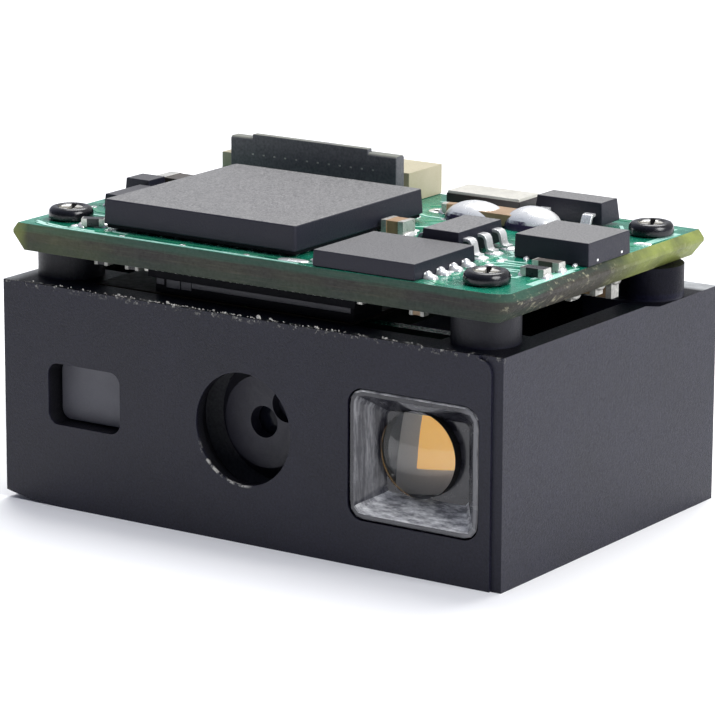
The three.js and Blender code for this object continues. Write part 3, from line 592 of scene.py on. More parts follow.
BROWN = grained("brown_ceramic", (0.035, 0.028, 0.022), (0.07, 0.055, 0.042), (0.35, 0.5), 10, 5, 1.5)
DARK_CHIP = grained("dark_resistor", (0.012, 0.012, 0.014), (0.03, 0.03, 0.033), (0.25, 0.4), 12, 4)
FLEX_AMBER = grained("flex_amber", (0.014, 0.009, 0.005), (0.026, 0.016, 0.008), (0.5, 0.65), 8, 3,
                     Specular_IOR_Level=0.12)
# painted glare on the solder mask
GLARE_MINT = grained("mask_glare", (0.3, 0.62, 0.5), (0.55, 0.8, 0.72), (0.2, 0.35), 6, 2, 1.5)
CRUMB = grained("moulding_crumb", (0.3, 0.29, 0.27), (0.6, 0.58, 0.53), (0.4, 0.6), 18, 4, 2.0)
# painted shade that stands for the dark inside holes and on the dome's side wall
HOLE_SHADE = grained("painted_hole_shade", (0.004, 0.004, 0.005), (0.007, 0.007, 0.008), (0.6, 0.8), 12, 2)

SLOT_LOOKS = {
    "chassis_black": CHASSIS_BLACK, "barrel_black": BARREL_BLACK, "black_plastic": BLACK_PLASTIC,
    "frosted_plastic": FROSTED, "clear_plastic": CLEAR, "lens_glass": DARK_GLASS,
    "sensor_glass": DARK_GLASS, "board_green": BOARD_GREEN, "flex_amber": FLEX_AMBER,
    "ceramic_white": CERAMIC, "phosphor_yellow": PHOSPHOR, "moulding_grey": MOULDING,
    "soldered_metal": PLATING, "metal_lid": LID, "screw_black": SCREW_BLACK, "ivory_plastic": IVORY,
}


def paint_cad_nodes():
    """Every CAD node gets its slot's material, whether or not a finer piece replaces it below."""
    for entry in frame["record"]["subparts"]:
        mesh = frame["nodes"][entry["node"]].data
        mesh.materials.clear()
        mesh.materials.append(SLOT_LOOKS[entry["material_slot"]])


paint_cad_nodes()


# ---- chassis, lenses and barrel

def loop_points(width, height, radius, middle, steps, aim):
    """Points round a rounded rectangle in X and Z, spread by angle about aim."""
    half_w, half_h = width / 2, height / 2
    points = []
    for c, s in around(steps, 0.5):
        direction = Vector((c, s))
        near, far = 0.0, width + height
        for _ in range(26):
            reach = (near + far) / 2
            px = abs(aim[0] + direction.x * reach - middle[0])
            pz = abs(aim[1] + direction.y * reach - middle[1])
            corner = Vector((max(px - half_w + radius, 0.0), max(pz - half_h + radius, 0.0)))
            inside = px <= half_w and pz <= half_h and corner.length <= radius
            near, far = (reach, far) if inside else (near, reach)
        points.append((aim[0] + direction.x * near, aim[1] + direction.y * near))
    return points


def make_lamp():
    """The illumination lens: a rough-walled clear frame and the polished dome set in its floor."""
    place = Place("illumination_lens")
    dome = Place("illumination_led").centre
    width, height = place.size.x, place.size.z
    front, back, floor = place.low.y, behind(1.45), behind(0.98)
    rim, soft, radius, steps = 0.24, 0.05, 1.55, 72
    mouth_w, mouth_h = width - 2 * rim, height - 2 * rim
    floor_w, floor_h = mouth_w * 0.7, mouth_h * 0.7
    outline = (
        (width, height, 0.58, back), (width, height, 0.58, front + soft),
        (width - soft, height - soft, 0.55, front + 0.02),
        (width - 3 * soft, height - 3 * soft, 0.5, front),
        (mouth_w + 2 * soft, mouth_h + 2 * soft, 0.34, front), (mouth_w, mouth_h, 0.3, front + 0.03),
        (mouth_w - 0.1, mouth_h - 0.1, 0.28, front + 0.12),
        (floor_w + 0.12, floor_h + 0.12, 0.2, floor - 0.1), (floor_w, floor_h, 0.2, floor),
    )
    rings = []
    for ring_w, ring_h, corner, y in outline:
        middle = (place.centre.x, place.centre.z)
        spots = loop_points(ring_w, ring_h, corner, middle, steps, (dome.x, dome.z))
        rings.append([(px, y, pz) for px, pz in spots])
    reach = radius + 0.015
    for y in (floor, back):
        rings.append([(dome.x + reach * c, y, dome.z + reach * s) for c, s in around(steps, 0.5)])
    bm = bmesh.new()
    loops = [[bm.verts.new(p) for p in ring] for ring in rings]
    for a, b in zip(loops, loops[1:] + loops[:1]):
        join_rings(bm, a, b)
    frame_lens = new_object("lamp_frame", bm)
    settle(frame_lens, LAMP_FRAME, "clear_plastic", replaces="illumination_lens", angle=50)

    bm = bmesh.new()
    crown, shoulder = 0.45, 0.62
    profile = [(0.0, behind(1.35)), (radius - 0.02, behind(1.35)), (radius, behind(1.3))]
    sphere = (radius ** 2 + crown ** 2) / (2 * crown)
    for i in range(17):
        reach = radius * math.cos(math.pi / 2 * i / 16)
        rise = math.sqrt(sphere ** 2 - reach ** 2) - (sphere - crown)
        profile.append((reach, behind(shoulder - rise)))
    add_lathe(bm, profile, (dome.x, 0.0, dome.z), "Y", 72)

    # the dome's side wall takes painted shade
    def side_or_crown(spot, normal):
        return 1 if abs(normal.y) < 0.35 and spot.y > behind(shoulder) else 0

    settle(new_object("lamp_dome", bm), [CLEAR, HOLE_SHADE], "clear_plastic", angle=50, choose=side_or_crown)

    chip = Place("led_phosphor")
    low = (chip.low.x, chip.low.y, chip.low.z + 0.25)
    block = lean_box("phosphor_block", low, chip.high, 0.0, 0.04)
    settle(block, PHOSPHOR, "phosphor_yellow", replaces="led_phosphor")


def make_crumbs():
    """Loose crumbs of moulding flash along the upper front edge of the chassis."""
    rng = random.Random(7)
    bm = bmesh.new()
    large = [
        (-3.4, 0.075), (-3.05, 0.055), (0.6, 0.085), (1.1, 0.05), (3.1, 0.06), (-5.6, 0.05), (-5.3, 0.045),
        (5.9, 0.055),
    ]
    small = [(rng.triangular(-10.3, 9.6, -2.0), rng.uniform(0.012, 0.034)) for _ in range(150)]
    for x, size in small + large:
        place = Vector((x, FRONT + size + rng.uniform(0.02, 0.16), CASE_TOP + rng.uniform(-0.02, 0.03)))
        stretch = Matrix.Diagonal((rng.uniform(0.8, 1.9), 1.0, rng.uniform(0.5, 1.1), 1.0))
        turn = Matrix.Translation(place) @ Matrix.Rotation(rng.uniform(0.0, 3.0), 4, "Y") @ stretch
        lump = bmesh.ops.create_icosphere(bm, subdivisions=2, radius=size, matrix=turn)
        for vert in lump["verts"]:
            vert.co += Vector([rng.uniform(-0.25, 0.25) * size for _ in range(3)])
            vert.co.y = max(vert.co.y, FRONT + 0.002)
    settle(new_object("edge_crumbs", bm), CRUMB, "chassis_black", angle=60)


def make_body_pieces():
    softened("chassis_moulding", "chassis", CHASSIS_BLACK, "chassis_black", 0.045, 3)
    softened("aimer_window", "aimer_lens", FROSTED, "frosted_plastic", 0.05, 3)
    make_crumbs()
    softened("barrel", "lens_barrel", BARREL_BLACK, "barrel_black", 0.05, 3, body=BARREL)
    make_lamp()


# ---- circuit board

# Copper under the mask: points of (X, distance behind the front face), then the width.
TRACKS = [
    ([(-7.2, 0.95), (-6.9, 1.05), (1.6, 1.05)], 0.14), ([(-9.9, 4.2), (-9.2, 3.7), (-7.4, 3.7)], 0.16),
    ([(-9.9, 4.7), (-7.4, 4.6)], 0.12), ([(-8.9, 9.6), (-8.2, 10.6), (-8.0, 11.6)], 0.2),
    ([(1.7, 2.2), (2.5, 2.4)], 0.14), ([(1.7, 3.4), (2.6, 3.3)], 0.14), ([(1.7, 4.4), (3.4, 4.9)], 0.18),
    ([(6.9, 1.3), (7.6, 0.9), (7.8, 0.9)], 0.2), ([(7.3, 2.1), (7.55, 2.9), (8.3, 3.7)], 0.16),
    ([(7.2, 3.1), (7.6, 3.6), (7.6, 4.6)], 0.14), ([(7.4, 3.9), (7.0, 4.9), (7.0, 5.4)], 0.16),
    ([(9.9, 2.9), (10.1, 3.3), (10.1, 6.0)], 0.16), ([(2.2, 5.0), (3.0, 5.5), (3.4, 5.5)], 0.12),
    ([(1.9, 8.0), (2.6, 8.9), (3.4, 9.4)], 0.24), ([(1.6, 9.2), (2.4, 9.9), (2.4, 10.2)], 0.16),
    ([(6.0, 8.2), (6.2, 9.4), (6.6, 10.1)], 0.3), ([(7.3, 8.6), (7.3, 9.6), (8.2, 10.4)], 0.2),
    ([(-0.2, 9.9), (0.6, 10.2), (1.2, 10.2)], 0.16), ([(0.3, 11.6), (0.9, 12.2), (1.1, 12.9)], 0.16),
    ([(8.9, 9.2), (9.7, 9.9), (10.1, 9.9)], 0.24), ([(-9.9, 9.4), (-9.9, 11.0)], 0.2),
    ([(-9.6, 10.3), (-8.9, 11.3), (-8.9, 12.6)], 0.14), ([(8.2, 13.0), (8.2, 13.5), (3.0, 13.6)], 0.16),
]

# Narrow tracks coloured with painted glare, in the same form without a width.
GLARE_TRACKS = [
    [(-9.5, 1.0), (-8.7, 0.85), (-7.2, 0.85)], [(-8.4, 0.85), (-8.1, 1.15)],
    [(-6.9, 1.6), (-6.5, 1.15), (-5.9, 1.1)], [(7.2, 3.0), (7.6, 3.4), (8.3, 3.5)],
    [(7.3, 4.0), (8.0, 4.6), (8.6, 4.7)], [(7.1, 5.6), (7.5, 5.2), (8.4, 5.3)], [(6.9, 6.6), (7.3, 6.2)],
    [(8.4, 2.9), (9.3, 3.1), (9.3, 3.4)], [(8.2, 4.1), (8.9, 4.2)], [(10.1, 3.4), (10.3, 5.6)],
    [(1.8, 5.6), (2.6, 6.4), (3.3, 6.4)], [(1.7, 8.1), (2.4, 8.6), (3.9, 8.6)],
    [(0.2, 10.4), (1.2, 10.0), (1.9, 10.0)], [(0.2, 12.4), (0.5, 12.9), (0.5, 13.4)],
    [(7.9, 12.6), (8.2, 12.2), (8.3, 11.2)], [(6.8, 9.6), (7.6, 9.6)], [(-9.9, 5.6), (-9.9, 6.5)],
    [(-9.2, 3.2), (-8.2, 3.2), (-7.5, 3.9)], [(2.1, 0.9), (2.6, 1.1), (6.3, 0.8)],
    [(7.3, 3.35), (8.1, 3.9), (8.9, 3.9)], [(7.2, 4.5), (7.7, 4.9), (8.8, 4.95)],
    [(8.7, 5.3), (9.4, 4.6), (10.0, 4.5)], [(7.6, 2.9), (8.0, 3.15), (8.6, 3.1)], [(9.9, 3.2), (9.9, 5.4)],
    [(6.8, 7.3), (7.4, 7.0), (7.4, 5.8)], [(7.0, 8.4), (7.5, 7.9)], [(-10.1, 1.2), (-9.4, 0.9)],
    [(-10.2, 2.6), (-9.9, 3.6)], [(-8.9, 4.2), (-8.9, 5.1)],
]

# Wider strips of the ground pour, coloured with painted glare.
GLARE_STRIPS = [[(10.3, 2.4), (10.3, 5.2)], [(10.2, 10.6), (10.25, 12.6)], [(8.5, 13.1), (9.9, 13.1)]]

# Bare pads beside the parts: X, distance behind the front face, width, length, turn.
PADS = [
    (1.45, 1.05, 1.25, 0.42, 0.1), (-8.3, 1.3, 0.5, 0.32, 0.5), (-7.1, 1.85, 0.45, 0.3, 0.5),
    (2.1, 1.5, 0.5, 0.22, 0.0), (7.5, 4.3, 0.34, 0.3, 0.0), (7.45, 5.2, 0.3, 0.5, 0.0),
    (7.6, 6.1, 0.34, 0.26, 0.2), (6.95, 2.5, 0.3, 0.5, 0.0), (10.1, 10.4, 0.7, 0.24, 0.3),
    (2.55, 8.3, 0.5, 0.32, 0.0), (2.9, 9.1, 0.42, 0.3, 0.4), (0.9, 9.7, 0.34, 0.3, 0.0),
    (2.3, 5.9, 0.3, 0.4, 0.0), (2.2, 7.6, 0.34, 0.36, 0.0), (-9.3, 6.9, 0.5, 0.3, 0.0),
    (-7.4, 7.6, 0.4, 0.3, 0.0), (-8.8, 9.4, 0.5, 0.34, 0.0),
]

# Plated through-holes: X, distance behind the front face, radius.
VIAS = [
    (0.95, 11.1, 0.36), (2.5, 4.2, 0.14), (3.3, 5.1, 0.14), (7.7, 3.4, 0.13), (7.1, 4.7, 0.13),
    (8.9, 3.3, 0.13), (10.1, 6.4, 0.13), (2.0, 9.9, 0.14), (2.6, 8.9, 0.13), (1.9, 2.9, 0.13),
    (-9.9, 4.3, 0.14), (-8.1, 3.9, 0.13), (6.9, 9.2, 0.16), (7.9, 9.9, 0.14), (9.3, 9.8, 0.14),
    (-8.0, 11.7, 0.15), (-9.9, 11.2, 0.14), (8.2, 13.2, 0.15), (-5.9, 0.8, 0.12), (-3.2, 0.8, 0.12),
    (-0.4, 0.8, 0.12), (2.6, 0.9, 0.13), (6.5, 8.6, 0.14),
]


def metal(name, bm, look=SOLDER, angle=60, width=0.0, segments=2):
    """Joints, pads, rims or leads of bright metal, with softened edges where a width is given."""
    obj = new_object(name, bm)
    if width:
        bevel(obj, width, segments)
    settle(obj, look, "soldered_metal", angle=angle)


def make_board():
    """The board itself, its tracks, its bare pads and its plated holes."""
    softened("board", "main_board", BOARD_GREEN, "board_green", 0.03)
    bm = bmesh.new()
    for points, width in TRACKS:
        add_track(bm, points, width, 0.018)
    settle(new_object("copper_tracks", bm), TRACK_GREEN, "board_green")

    bm = bmesh.new()
    # a painted highlight: pale strips along the front edge of the mask and round its front left corner
    edge = BOARD.low.y - FRONT + 0.1
    add_track(bm, [(-8.6, edge), (-2.0, edge + 0.01), (1.9, edge + 0.01)], 0.13, 0.022)
    add_track(bm, [(-9.9, edge + 0.3), (-9.4, edge + 0.12), (-8.6, edge)], 0.16, 0.022)
    for points in GLARE_TRACKS:
        add_track(bm, points, 0.13, 0.02)
    for points in GLARE_STRIPS:
        add_track(bm, points, 0.3, 0.015)
    settle(new_object("painted_glare_tracks", bm), GLARE_MINT, "board_green")

    bm = bmesh.new()
    for x, depth, width, length, turn in PADS:
        add_dome(bm, (x, behind(depth), TOP - SINK), (width / 2, length / 2), 0.06, turn, 16, 3, 4.0)
    metal("bare_pads", bm)

    rims, bores = bmesh.new(), bmesh.new()
    for x, depth, radius in VIAS:
        centre = (x, behind(depth), TOP)
        ring = [(radius * 0.45, 0.0), (radius * 0.5, 0.016), (radius * 0.92, 0.018), (radius, 0.0)]
        add_lathe(rims, ring, centre, "Z", 18)
        # a dark disc in each bore stands for the hole: painted shade
        bore = [(0.0, 0.006), (radius * 0.46, 0.006), (radius * 0.46, -0.004), (0.0, -0.004)]
        add_lathe(bores, bore, centre, "Z", 14)
    metal("via_rims", rims)
    settle(new_object("via_bores", bores), HOLE_SHADE, "board_green")


# ---- packages

def lean_box(name, low, high, lean, width=0.04, segments=2, corner=0.0):
    """A box whose top is inset by lean, with softened edges and, if asked, rounded upright corners."""
    bm = bmesh.new()
    add_box(bm, low, high, lean)
    if corner:
        upright = [edge for edge in bm.edges if abs(edge.verts[0].co.z - edge.verts[1].co.z) > 0.1]
        bmesh.ops.bevel(bm, geom=upright, offset=corner, segments=6, profile=0.5, affect="EDGES")
    return bevel(new_object(name, bm), width, segments)


def moulded(name, node, low, high, lean, look=MOULDING, width=0.035, corner=0.0):
    """A package's moulded body, in place of its CAD node."""
    body = lean_box(name, low, high, lean, width, 3, corner)
    settle(body, look, "moulding_grey", replaces=node)


def make_processor():
    """A moulded cap on a thin substrate that stands on rows of solder balls."""
    place = Place("processor")
    x0, y0, z0 = place.low
    x1, y1, z1 = place.high
    low = (x0, y0, z0 + 0.22)
    moulded("processor_cap", "processor", low, (x1, y1, z1), 0.05, width=0.05, corner=0.12)
    low, high = (x0 + 0.06, y0 + 0.06, z0 + 0.09), (x1 - 0.06, y1 - 0.06, z0 + 0.23)
    # the substrate takes the near-black link material as painted shade under the cap
    settle(lean_box("processor_base", low, high, 0.0, 0.02, corner=0.2), LINK_BLACK, "moulding_grey")
    pitch, radius = 0.65, 0.14
    across = int((x1 - x0 - 0.4) / pitch) + 1
    along = int((y1 - y0 - 0.4) / pitch) + 1
    bm = bmesh.new()
    for i, x in enumerate(spread(place.centre.x, across, pitch)):
        for j, y in enumerate(spread(place.centre.y, along, pitch)):
            if 1 < i < across - 2 and 1 < j < along - 2:
                continue
            turn = Matrix.Translation((x, y, z0 + 0.045)) @ Matrix.Diagonal((1.0, 1.0, 0.5, 1.0))
            bmesh.ops.create_uvsphere(bm, u_segments=12, v_segments=8, radius=radius, matrix=turn)
    metal("processor_balls", bm, angle=80)


def make_flash():
    """A leadless memory with four soldered pads on each side."""
    place = Place("flash_memory")
    x0, y0, z0 = place.low
    x1, y1, z1 = place.high
    left, right = x0 + 0.03, x1 - 0.3
    moulded("flash_body", "flash_memory", (left, y0, z0), (right, y1, z1), 0.03, PART_SHADED_MOULDING)
    bm = bmesh.new()
    for side, x in ((-1, left), (1, right)):
        near, far = sorted((x, x + side * 0.03))
        for y in spread(place.centre.y, 4, 0.8):
            add_box(bm, (near, y - 0.17, z0 + 0.02), (far, y + 0.17, z0 + 0.2))
            add_dome(bm, (x + side * 0.16, y, TOP), (0.3, 0.23), 0.17, 0.0, 16, 5, 2.6)
            add_dome(bm, (x + side * 0.08, y, TOP), (0.17, 0.2), 0.27, 0.0, 16, 5, 2.6)
    metal("flash_solder", bm)


def make_power_controller():
    """A square leadless package with its small joints at the edge."""
    place = Place("power_controller")
    moulded("power_body", "power_controller", place.low, place.high, 0.02)
    bm = bmesh.new()
    row = spread(place.centre.x, 5, 0.5)
    for x in row[:1] + row[2:]:
        add_dome(bm, (x, place.low.y - 0.03, TOP), (0.1, 0.14), 0.11, 0.0, 12, 4)
    edge, base = place.high.x, place.low.z
    for y in spread(place.centre.y, 2, 1.65):
        add_box(bm, (edge - 0.02, y - 0.05, base + 0.12), (edge + 0.012, y + 0.05, base + 0.2))
    metal("power_joints", bm)


def add_lead(bm, points, width, thickness, place, turn):
    """A bent metal strip: points of (reach, height) along one direction, turned about its package."""
    path = [Vector(p) for p in points]
    spin = Matrix.Translation(place) @ Matrix.Rotation(turn, 4, "Z")
    rows = []
    for point, normal in zip(path, crossings(path, thickness, 0.6)):
        row = []
        for offset, side in ((normal, -1), (normal, 1), (-normal, 1), (-normal, -1)):
            spot = point + offset
            row.append(bm.verts.new(spin @ Vector((spot.x, side * width / 2, spot.y))))
        rows.append(row)
    for a, b in zip(rows, rows[1:]):
        join_rings(bm, a, b)
    bm.faces.new(rows[0][::-1])
    bm.faces.new(rows[-1])


def gull_path(inside, shoulder, toe, height):
    """The side view of a gull-wing lead, with soft bends."""
    return [
        (inside, height), (shoulder - 0.06, height), (shoulder + 0.02, height - 0.03),
        (shoulder + 0.08, height - 0.12), (shoulder + 0.14, 0.2), (shoulder + 0.19, 0.1),
        (shoulder + 0.26, 0.07), (toe, 0.065),
    ]


def make_regulator():
    """A six-lead package: wide bright leads bend down to their pads on both sides."""
    place = Place("voltage_regulator")
    centre, base = place.centre, place.low.z
    half_w, half_l = 0.81, place.size.y / 2
    low = (centre.x - half_w, centre.y - half_l, base + 0.1)
    high = (centre.x + half_w, centre.y + half_l, place.high.z)
    moulded("regulator_body", "voltage_regulator", low, high, 0.06)
    leads, joints = bmesh.new(), bmesh.new()
    for turn in (0.0, math.pi):
        for y in spread(centre.y, 3, 0.95):
            add_lead(leads, gull_path(0.7, 1.0, 1.42, 0.6), 0.4, 0.12, (centre.x, y, base), turn)
            reach = 1.34 * math.cos(turn)
            add_dome(joints, (centre.x + reach, y, TOP), (0.34, 0.27), 0.1, 0.0, 16, 4, 3.0)
    metal("regulator_leads", leads, angle=50, width=0.02)
    metal("regulator_joints", joints)


def make_transistor():
    """A three-lead package: two leads in front, one behind."""
    place = Place("transistor")
    base = place.low.z
    x, y = place.centre.x, behind(12.4)
    low, high = (x - 1.45, y - 0.65, base + 0.1), (x + 1.45, y + 0.65, place.high.z)
    moulded("transistor_body", "transistor", low, high, 0.08, width=0.04)
    leads, joints = bmesh.new(), bmesh.new()
    for offset, turn in ((-0.95, -math.pi / 2), (0.95, -math.pi / 2), (0.0, math.pi / 2)):
        add_lead(leads, gull_path(0.55, 0.8, 1.15, 0.46), 0.42, 0.12, (x + offset, y, base), turn)
        spot = (x + offset, y + math.copysign(1.05, turn), TOP)
        add_dome(joints, spot, (0.28, 0.26), 0.1, 0.0, 16, 4, 3.0)
    metal("transistor_leads", leads, angle=50, width=0.02)
    metal("transistor_joints", joints)


def make_crystal():
    place = Place("crystal")
    x0, y0, _ = place.low
    x1, y1, z1 = place.high
    base = lean_box("crystal_base", place.low, (x1, y1, z1 - 0.1), 0.0, 0.03)
    settle(base, LID_BASE, "metal_lid", replaces="crystal")
    lid = lean_box("crystal_lid", (x0 + 0.02, y0 + 0.02, z1 - 0.11), (x1 - 0.02, y1 - 0.02, z1), 0.03, 0.025)
    settle(lid, LID, "metal_lid")


def make_bulk_capacitor():
    """A tan chip almost buried in large bright mounds of solder at its ends."""
    place = Place("bulk_capacitor")
    x0, y0, z0 = place.low
    x1, y1, z1 = place.high
    low, high = (x0 + 0.3, y0 + 0.05, z0 + 0.03), (x1 - 0.3, y1 - 0.05, z1 - 0.02)
    body = lean_box("capacitor_body", low, high, 0.02, 0.05)
    settle(body, TAN, "ceramic_white", replaces="bulk_capacitor")
    bm = bmesh.new()
    end, middle = 0.85, place.centre.y
    add_dome(bm, (x0 + end * 0.95, middle, TOP), (1.25, 0.9), z1 - TOP + 0.2, 0.0, 32, 12, 2.2)
    add_dome(bm, (x1 - end * 0.42, middle, TOP), (1.12, 0.9), z1 - TOP + 0.28, 0.0, 28, 10, 2.3)
    metal("capacitor_solder", bm, MOUND, 80)


def make_plain_packages():
    for node in ("interface_chip", "rear_left_diode"):
        place = Place(node)
        moulded(node + "_body", node, place.low, place.high, 0.04, SHADED_MOULDING)
    place = Place("interface_chip")
    bm = bmesh.new()
    for y in spread(place.centre.y, 5, 0.42):
        for side in (-1, 1):
            x = place.centre.x + side * place.size.x / 2
            add_box(bm, (x - 0.06, y - 0.09, TOP + 0.01), (x + 0.06, y + 0.09, TOP + 0.2))
            add_dome(bm, (x + side * 0.08, y, TOP), (0.16, 0.13), 0.1, 0.0, 12, 4)
    metal("interface_chip_joints", bm)


# ---- two-terminal chips

# CAD node, turn in radians, length, body look, share of the length under each metal end.
CHIPS = [
    ("chip_by_front_left_screw", 0.5, 0.85, DARK_CHIP, 0.2),
    ("chip_right_of_processor", 0.0, 0.95, TAN, 0.2),
    ("chip_rear_left", 0.0, 2.0, BROWN, 0.2), ("chip_behind_processor", 0.3, 0.8, TAN, 0.22),
    ("chip_before_power_a", 0.0, 1.1, BROWN, 0.17), ("chip_before_power_b", 0.0, 0.95, DARK_CHIP, 0.15),
    ("under_chip_left_a", 0.0, 0.6, DARK_CHIP, 0.26), ("under_chip_left_b", 0.0, 0.6, DARK_CHIP, 0.26),
    ("under_chip_front_right", 0.0, 0.6, TAN, 0.26), ("under_chip_right_a", 0.0, 1.0, TAN, 0.24),
    ("under_chip_right_b", 0.0, 1.0, TAN, 0.24), ("under_chip_right_c", 0.0, 1.0, TAN, 0.24),
]


def make_chips():
    """Each chip has a ceramic body, two plated ends and a fillet of solder where they meet the board."""
    for node, turn, length, look, share in CHIPS:
        place = Place(node)
        centre = place.centre.copy()
        along = Vector((math.cos(turn), math.sin(turn), 0.0))
        inner = length * (0.5 - share)

        def end_or_body(spot, normal, centre=centre, along=along, inner=inner):
            return 0 if abs((spot - centre).dot(along)) > inner else 1

        hanging = node.startswith("under")
        ends = DULL_PLATING if hanging else PLATING
        softened(node + "_part", node, [ends, look], "soldered_metal", 0.035, 3, choose=end_or_body)
        width = place.size.y if abs(turn) < 0.01 else 0.42
        level, height = (BOARD.low.z, -0.16) if hanging else (TOP, 0.16)
        bm = bmesh.new()
        for side in (-1, 1):
            spot = centre + along * side * length / 2
            add_dome(bm, (spot.x, spot.y, level), (0.17, width * 0.55), height, turn, 14, 4, 2.6)
        metal(node + "_solder", bm, ends if hanging else SOLDER)


# ---- screws

def make_screws():
    """Black pan heads with a rounded rim and a bright worn cross."""
    for node in ("board_screw_front_left", "board_screw_front_right", "board_screw_rear_right"):
        place = Place(node)
        centre = Vector((place.centre.x, place.centre.y, place.high.z - 0.46))
        bm = bmesh.new()
        profile = [
            (0.0, -1.2), (0.48, -1.2), (0.48, 0.0), (0.74, 0.0), (0.82, 0.05), (0.83, 0.2), (0.8, 0.34),
            (0.72, 0.43), (0.62, 0.46), (0.5, 0.44), (0.44, 0.4), (0.38, 0.385), (0.0, 0.385),
        ]
        add_lathe(bm, profile, centre, "Z", 48)
        head = new_object(node + "_head", bm)
        bm = bmesh.new()
        for turn in (-math.pi / 2, 0.4 + math.pi / 2):
            add_box(bm, (-0.5, -0.1, -0.12), (0.5, 0.1, 0.7))
            bm.transform(Matrix.Rotation(turn, 4, "Z"))
        bm.transform(Matrix.Translation(centre))
        cutter = new_object("cutter", bm)
        cut = head.modifiers.new("cross", "BOOLEAN")
        cut.object = cutter
        cut.solver = "EXACT"
        cut.use_self = True
        apply_modifiers(head)
        bpy.data.objects.remove(cutter)

        def worn(spot, normal, centre=centre):
            """The recess and the dish round it have lost their black finish."""
            reach = Vector((spot.x - centre.x, spot.y - centre.y)).length
            return 1 if reach < 0.46 and spot.z > centre.z - 0.15 else 0

        settle(head, [SCREW_BLACK, STEEL], "screw_black", replaces=node, choose=worn, angle=45)


# ---- cable connector and board link

CONTACTS, CONTACT_PITCH = 12, 0.5


def make_socket():
    """The ivory housing, its contact tails and the joint of solder at each tail."""
    place = Place("cable_socket")
    housing_middle, housing_depth = 12.45, 2.75
    front = behind(housing_middle - housing_depth / 2)

    def tail_or_body(spot, normal):
        return 1 if spot.y < front - 0.01 else 0

    softened("socket_housing", "cable_socket", [IVORY, SOLDER], "ivory_plastic", 0.04, choose=tail_or_body)
    bm = bmesh.new()
    for x in spread(place.centre.x, CONTACTS, CONTACT_PITCH):
        add_dome(bm, (x, front - 0.62, TOP), (0.14, 0.26), 0.1, 0.0, 12, 4, 2.6)
    metal("socket_joints", bm)


def make_latch():
    """The flip lock, with a row of small marks along its face where the contacts press."""
    softened("latch_bar", "cable_latch", BLACK_PLASTIC, "black_plastic", 0.06, 3, body=LOCK)
    place = Place("cable_latch")
    face, z = place.low.y, place.low.z + 1.0
    bm = bmesh.new()
    for x in spread(place.centre.x, CONTACTS, CONTACT_PITCH):
        add_box(bm, (x - 0.055, face - 0.004, z - 0.04), (x + 0.055, face + 0.05, z + 0.04))
    settle(bevel(new_object("latch_marks", bm), 0.015, 1), DULL_PLATING, "black_plastic", LOCK)


def make_link():
    """The fine-pitch link under the board: black housings, two rows of contacts, a plug with paler ribs."""
    for node in ("board_socket", "flex_plug"):
        softened(node + "_housing", node, LINK_BLACK, "black_plastic", 0.03)
    socket, plug = Place("board_socket"), Place("flex_plug")
    ribs = bmesh.new()
    front, top = plug.low.y - 0.03, plug.high.z - 0.02
    for start, end, drop in ((-4.25, -3.9, 0.22), (-3.8, -3.2, 0.3), (-3.15, -2.7, 0.3), (-2.68, 4.2, 0.2)):
        low = (plug.centre.x + start, front, top - drop)
        add_box(ribs, low, (plug.centre.x + end, plug.low.y + 0.1, top))
    settle(bevel(new_object("plug_ribs", ribs), 0.02, 2), LINK_GREY, "black_plastic")
    pins, anchors = bmesh.new(), bmesh.new()
    under = BOARD.low.z
    for x in spread(socket.centre.x, 28, 0.3):
        for y, side in ((socket.low.y, -1), (socket.high.y, 1)):
            near, far = sorted((y, y + side * 0.14))
            add_box(pins, (x - 0.07, near, under - 0.15), (x + 0.07, far, under - 0.02))
    for side in (-1, 1):
        x, y = socket.centre.x + side * (socket.size.x / 2 + 0.1), socket.low.y
        add_box(anchors, (x - 0.14, y + 0.1, under - 0.3), (x + 0.14, y + 0.8, under - 0.02))
    metal("link_pins", pins, PLATING, 35, 0.02, 1)
    metal("link_anchors", anchors, PLATING, 35, 0.03)


for make in (
    make_body_pieces, make_board, make_processor, make_flash, make_power_controller, make_regulator,
    make_transistor, make_crystal, make_bulk_capacitor, make_plain_packages, make_chips, make_screws,
    make_socket, make_latch, make_link,
):
    make()


# ---- studio

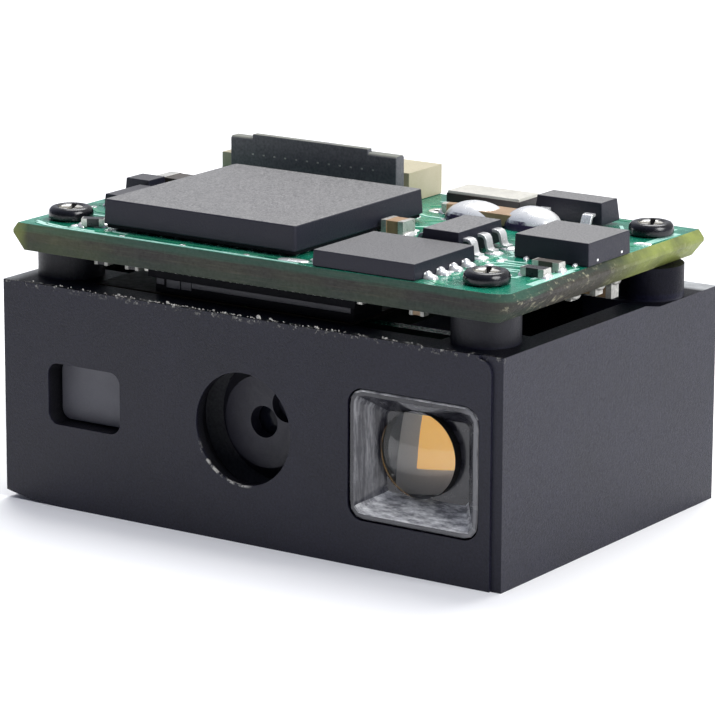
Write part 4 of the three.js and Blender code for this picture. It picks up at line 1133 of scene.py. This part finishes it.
def make_camera():
    """The camera: azimuth, elevation and roll in degrees, and its place in millimetres."""
    azimuth, elevation, roll = (math.radians(angle) for angle in (34.09, 13.82, 0.21))
    place = Vector((80.79, -119.54, 40.82)) * MM
    flat = math.cos(elevation)
    back = Vector((math.sin(azimuth) * flat, -math.cos(azimuth) * flat, math.sin(elevation)))
    level = Vector((math.cos(azimuth), math.sin(azimuth), 0.0))
    right = level * math.cos(roll) + back.cross(level) * math.sin(roll)
    up = back.cross(right)
    data = bpy.data.cameras.new("camera")
    data.lens = 203.8
    data.sensor_width = 36.0
    data.clip_start = 0.01
    data.clip_end = 20.0
    camera = bpy.data.objects.new("camera", data)
    turn = Matrix((right, up, back)).transposed()
    camera.matrix_world = Matrix.Translation(place) @ turn.to_4x4()
    bpy.context.scene.collection.objects.link(camera)
    bpy.context.scene.camera = camera


def make_floor():
    bm = bmesh.new()
    bmesh.ops.create_grid(bm, x_segments=8, y_segments=8, size=3000.0)
    floor = new_object("floor", bm)
    floor.data.transform(Matrix.Scale(MM, 4))
    look = Look("floor_white")
    look.set(Base_Color=look.mix(look.noise(0.02, 2.0), (0.9, 0.9, 0.9), (0.93, 0.93, 0.93)), Roughness=0.8)
    floor.data.materials.append(look.material)


def area_light(name, place, target, size, power):
    data = bpy.data.lights.new(name, "AREA")
    data.shape = "DISK"
    data.size = size
    data.energy = power
    light = bpy.data.objects.new(name, data)
    light.location = place
    light.rotation_euler = (Vector(place) - Vector(target)).to_track_quat("Z", "Y").to_euler()
    bpy.context.scene.collection.objects.link(light)


def make_world():
    """A soft white tent: bright above and behind the object, dimmer in front of it."""
    world = bpy.data.worlds.new("studio")
    world.use_nodes = True
    graph = Graph(world.node_tree)
    facing = graph.node("VectorMath", graph.node("TexCoord").outputs["Generated"], (0.05, 0.75, 0.65))
    facing.operation = "DOT_PRODUCT"
    amount = facing.outputs["Value"]
    level = graph.ramp(amount, -0.6, 0.6, 0.07, 0.5)
    level.node.interpolation_type = "SMOOTHSTEP"
    background = world.node_tree.nodes["Background"]
    graph.link(level, background.inputs["Strength"])
    graph.link(graph.mix(amount, (0.8, 0.87, 1.2), (1.0, 1.0, 1.0)), background.inputs["Color"])
    bpy.context.scene.world = world


def make_studio():
    make_camera()
    make_floor()
    make_world()
    middle = (0.0, 0.0, 0.005)
    area_light("key_right", (0.5, -0.05, 0.35), middle, 0.35, 3.3)
    area_light("top_soft", (-0.1, 0.3, 0.6), middle, 0.5, 4.9)
    bpy.context.scene.view_settings.view_transform = "Standard"


make_studio()
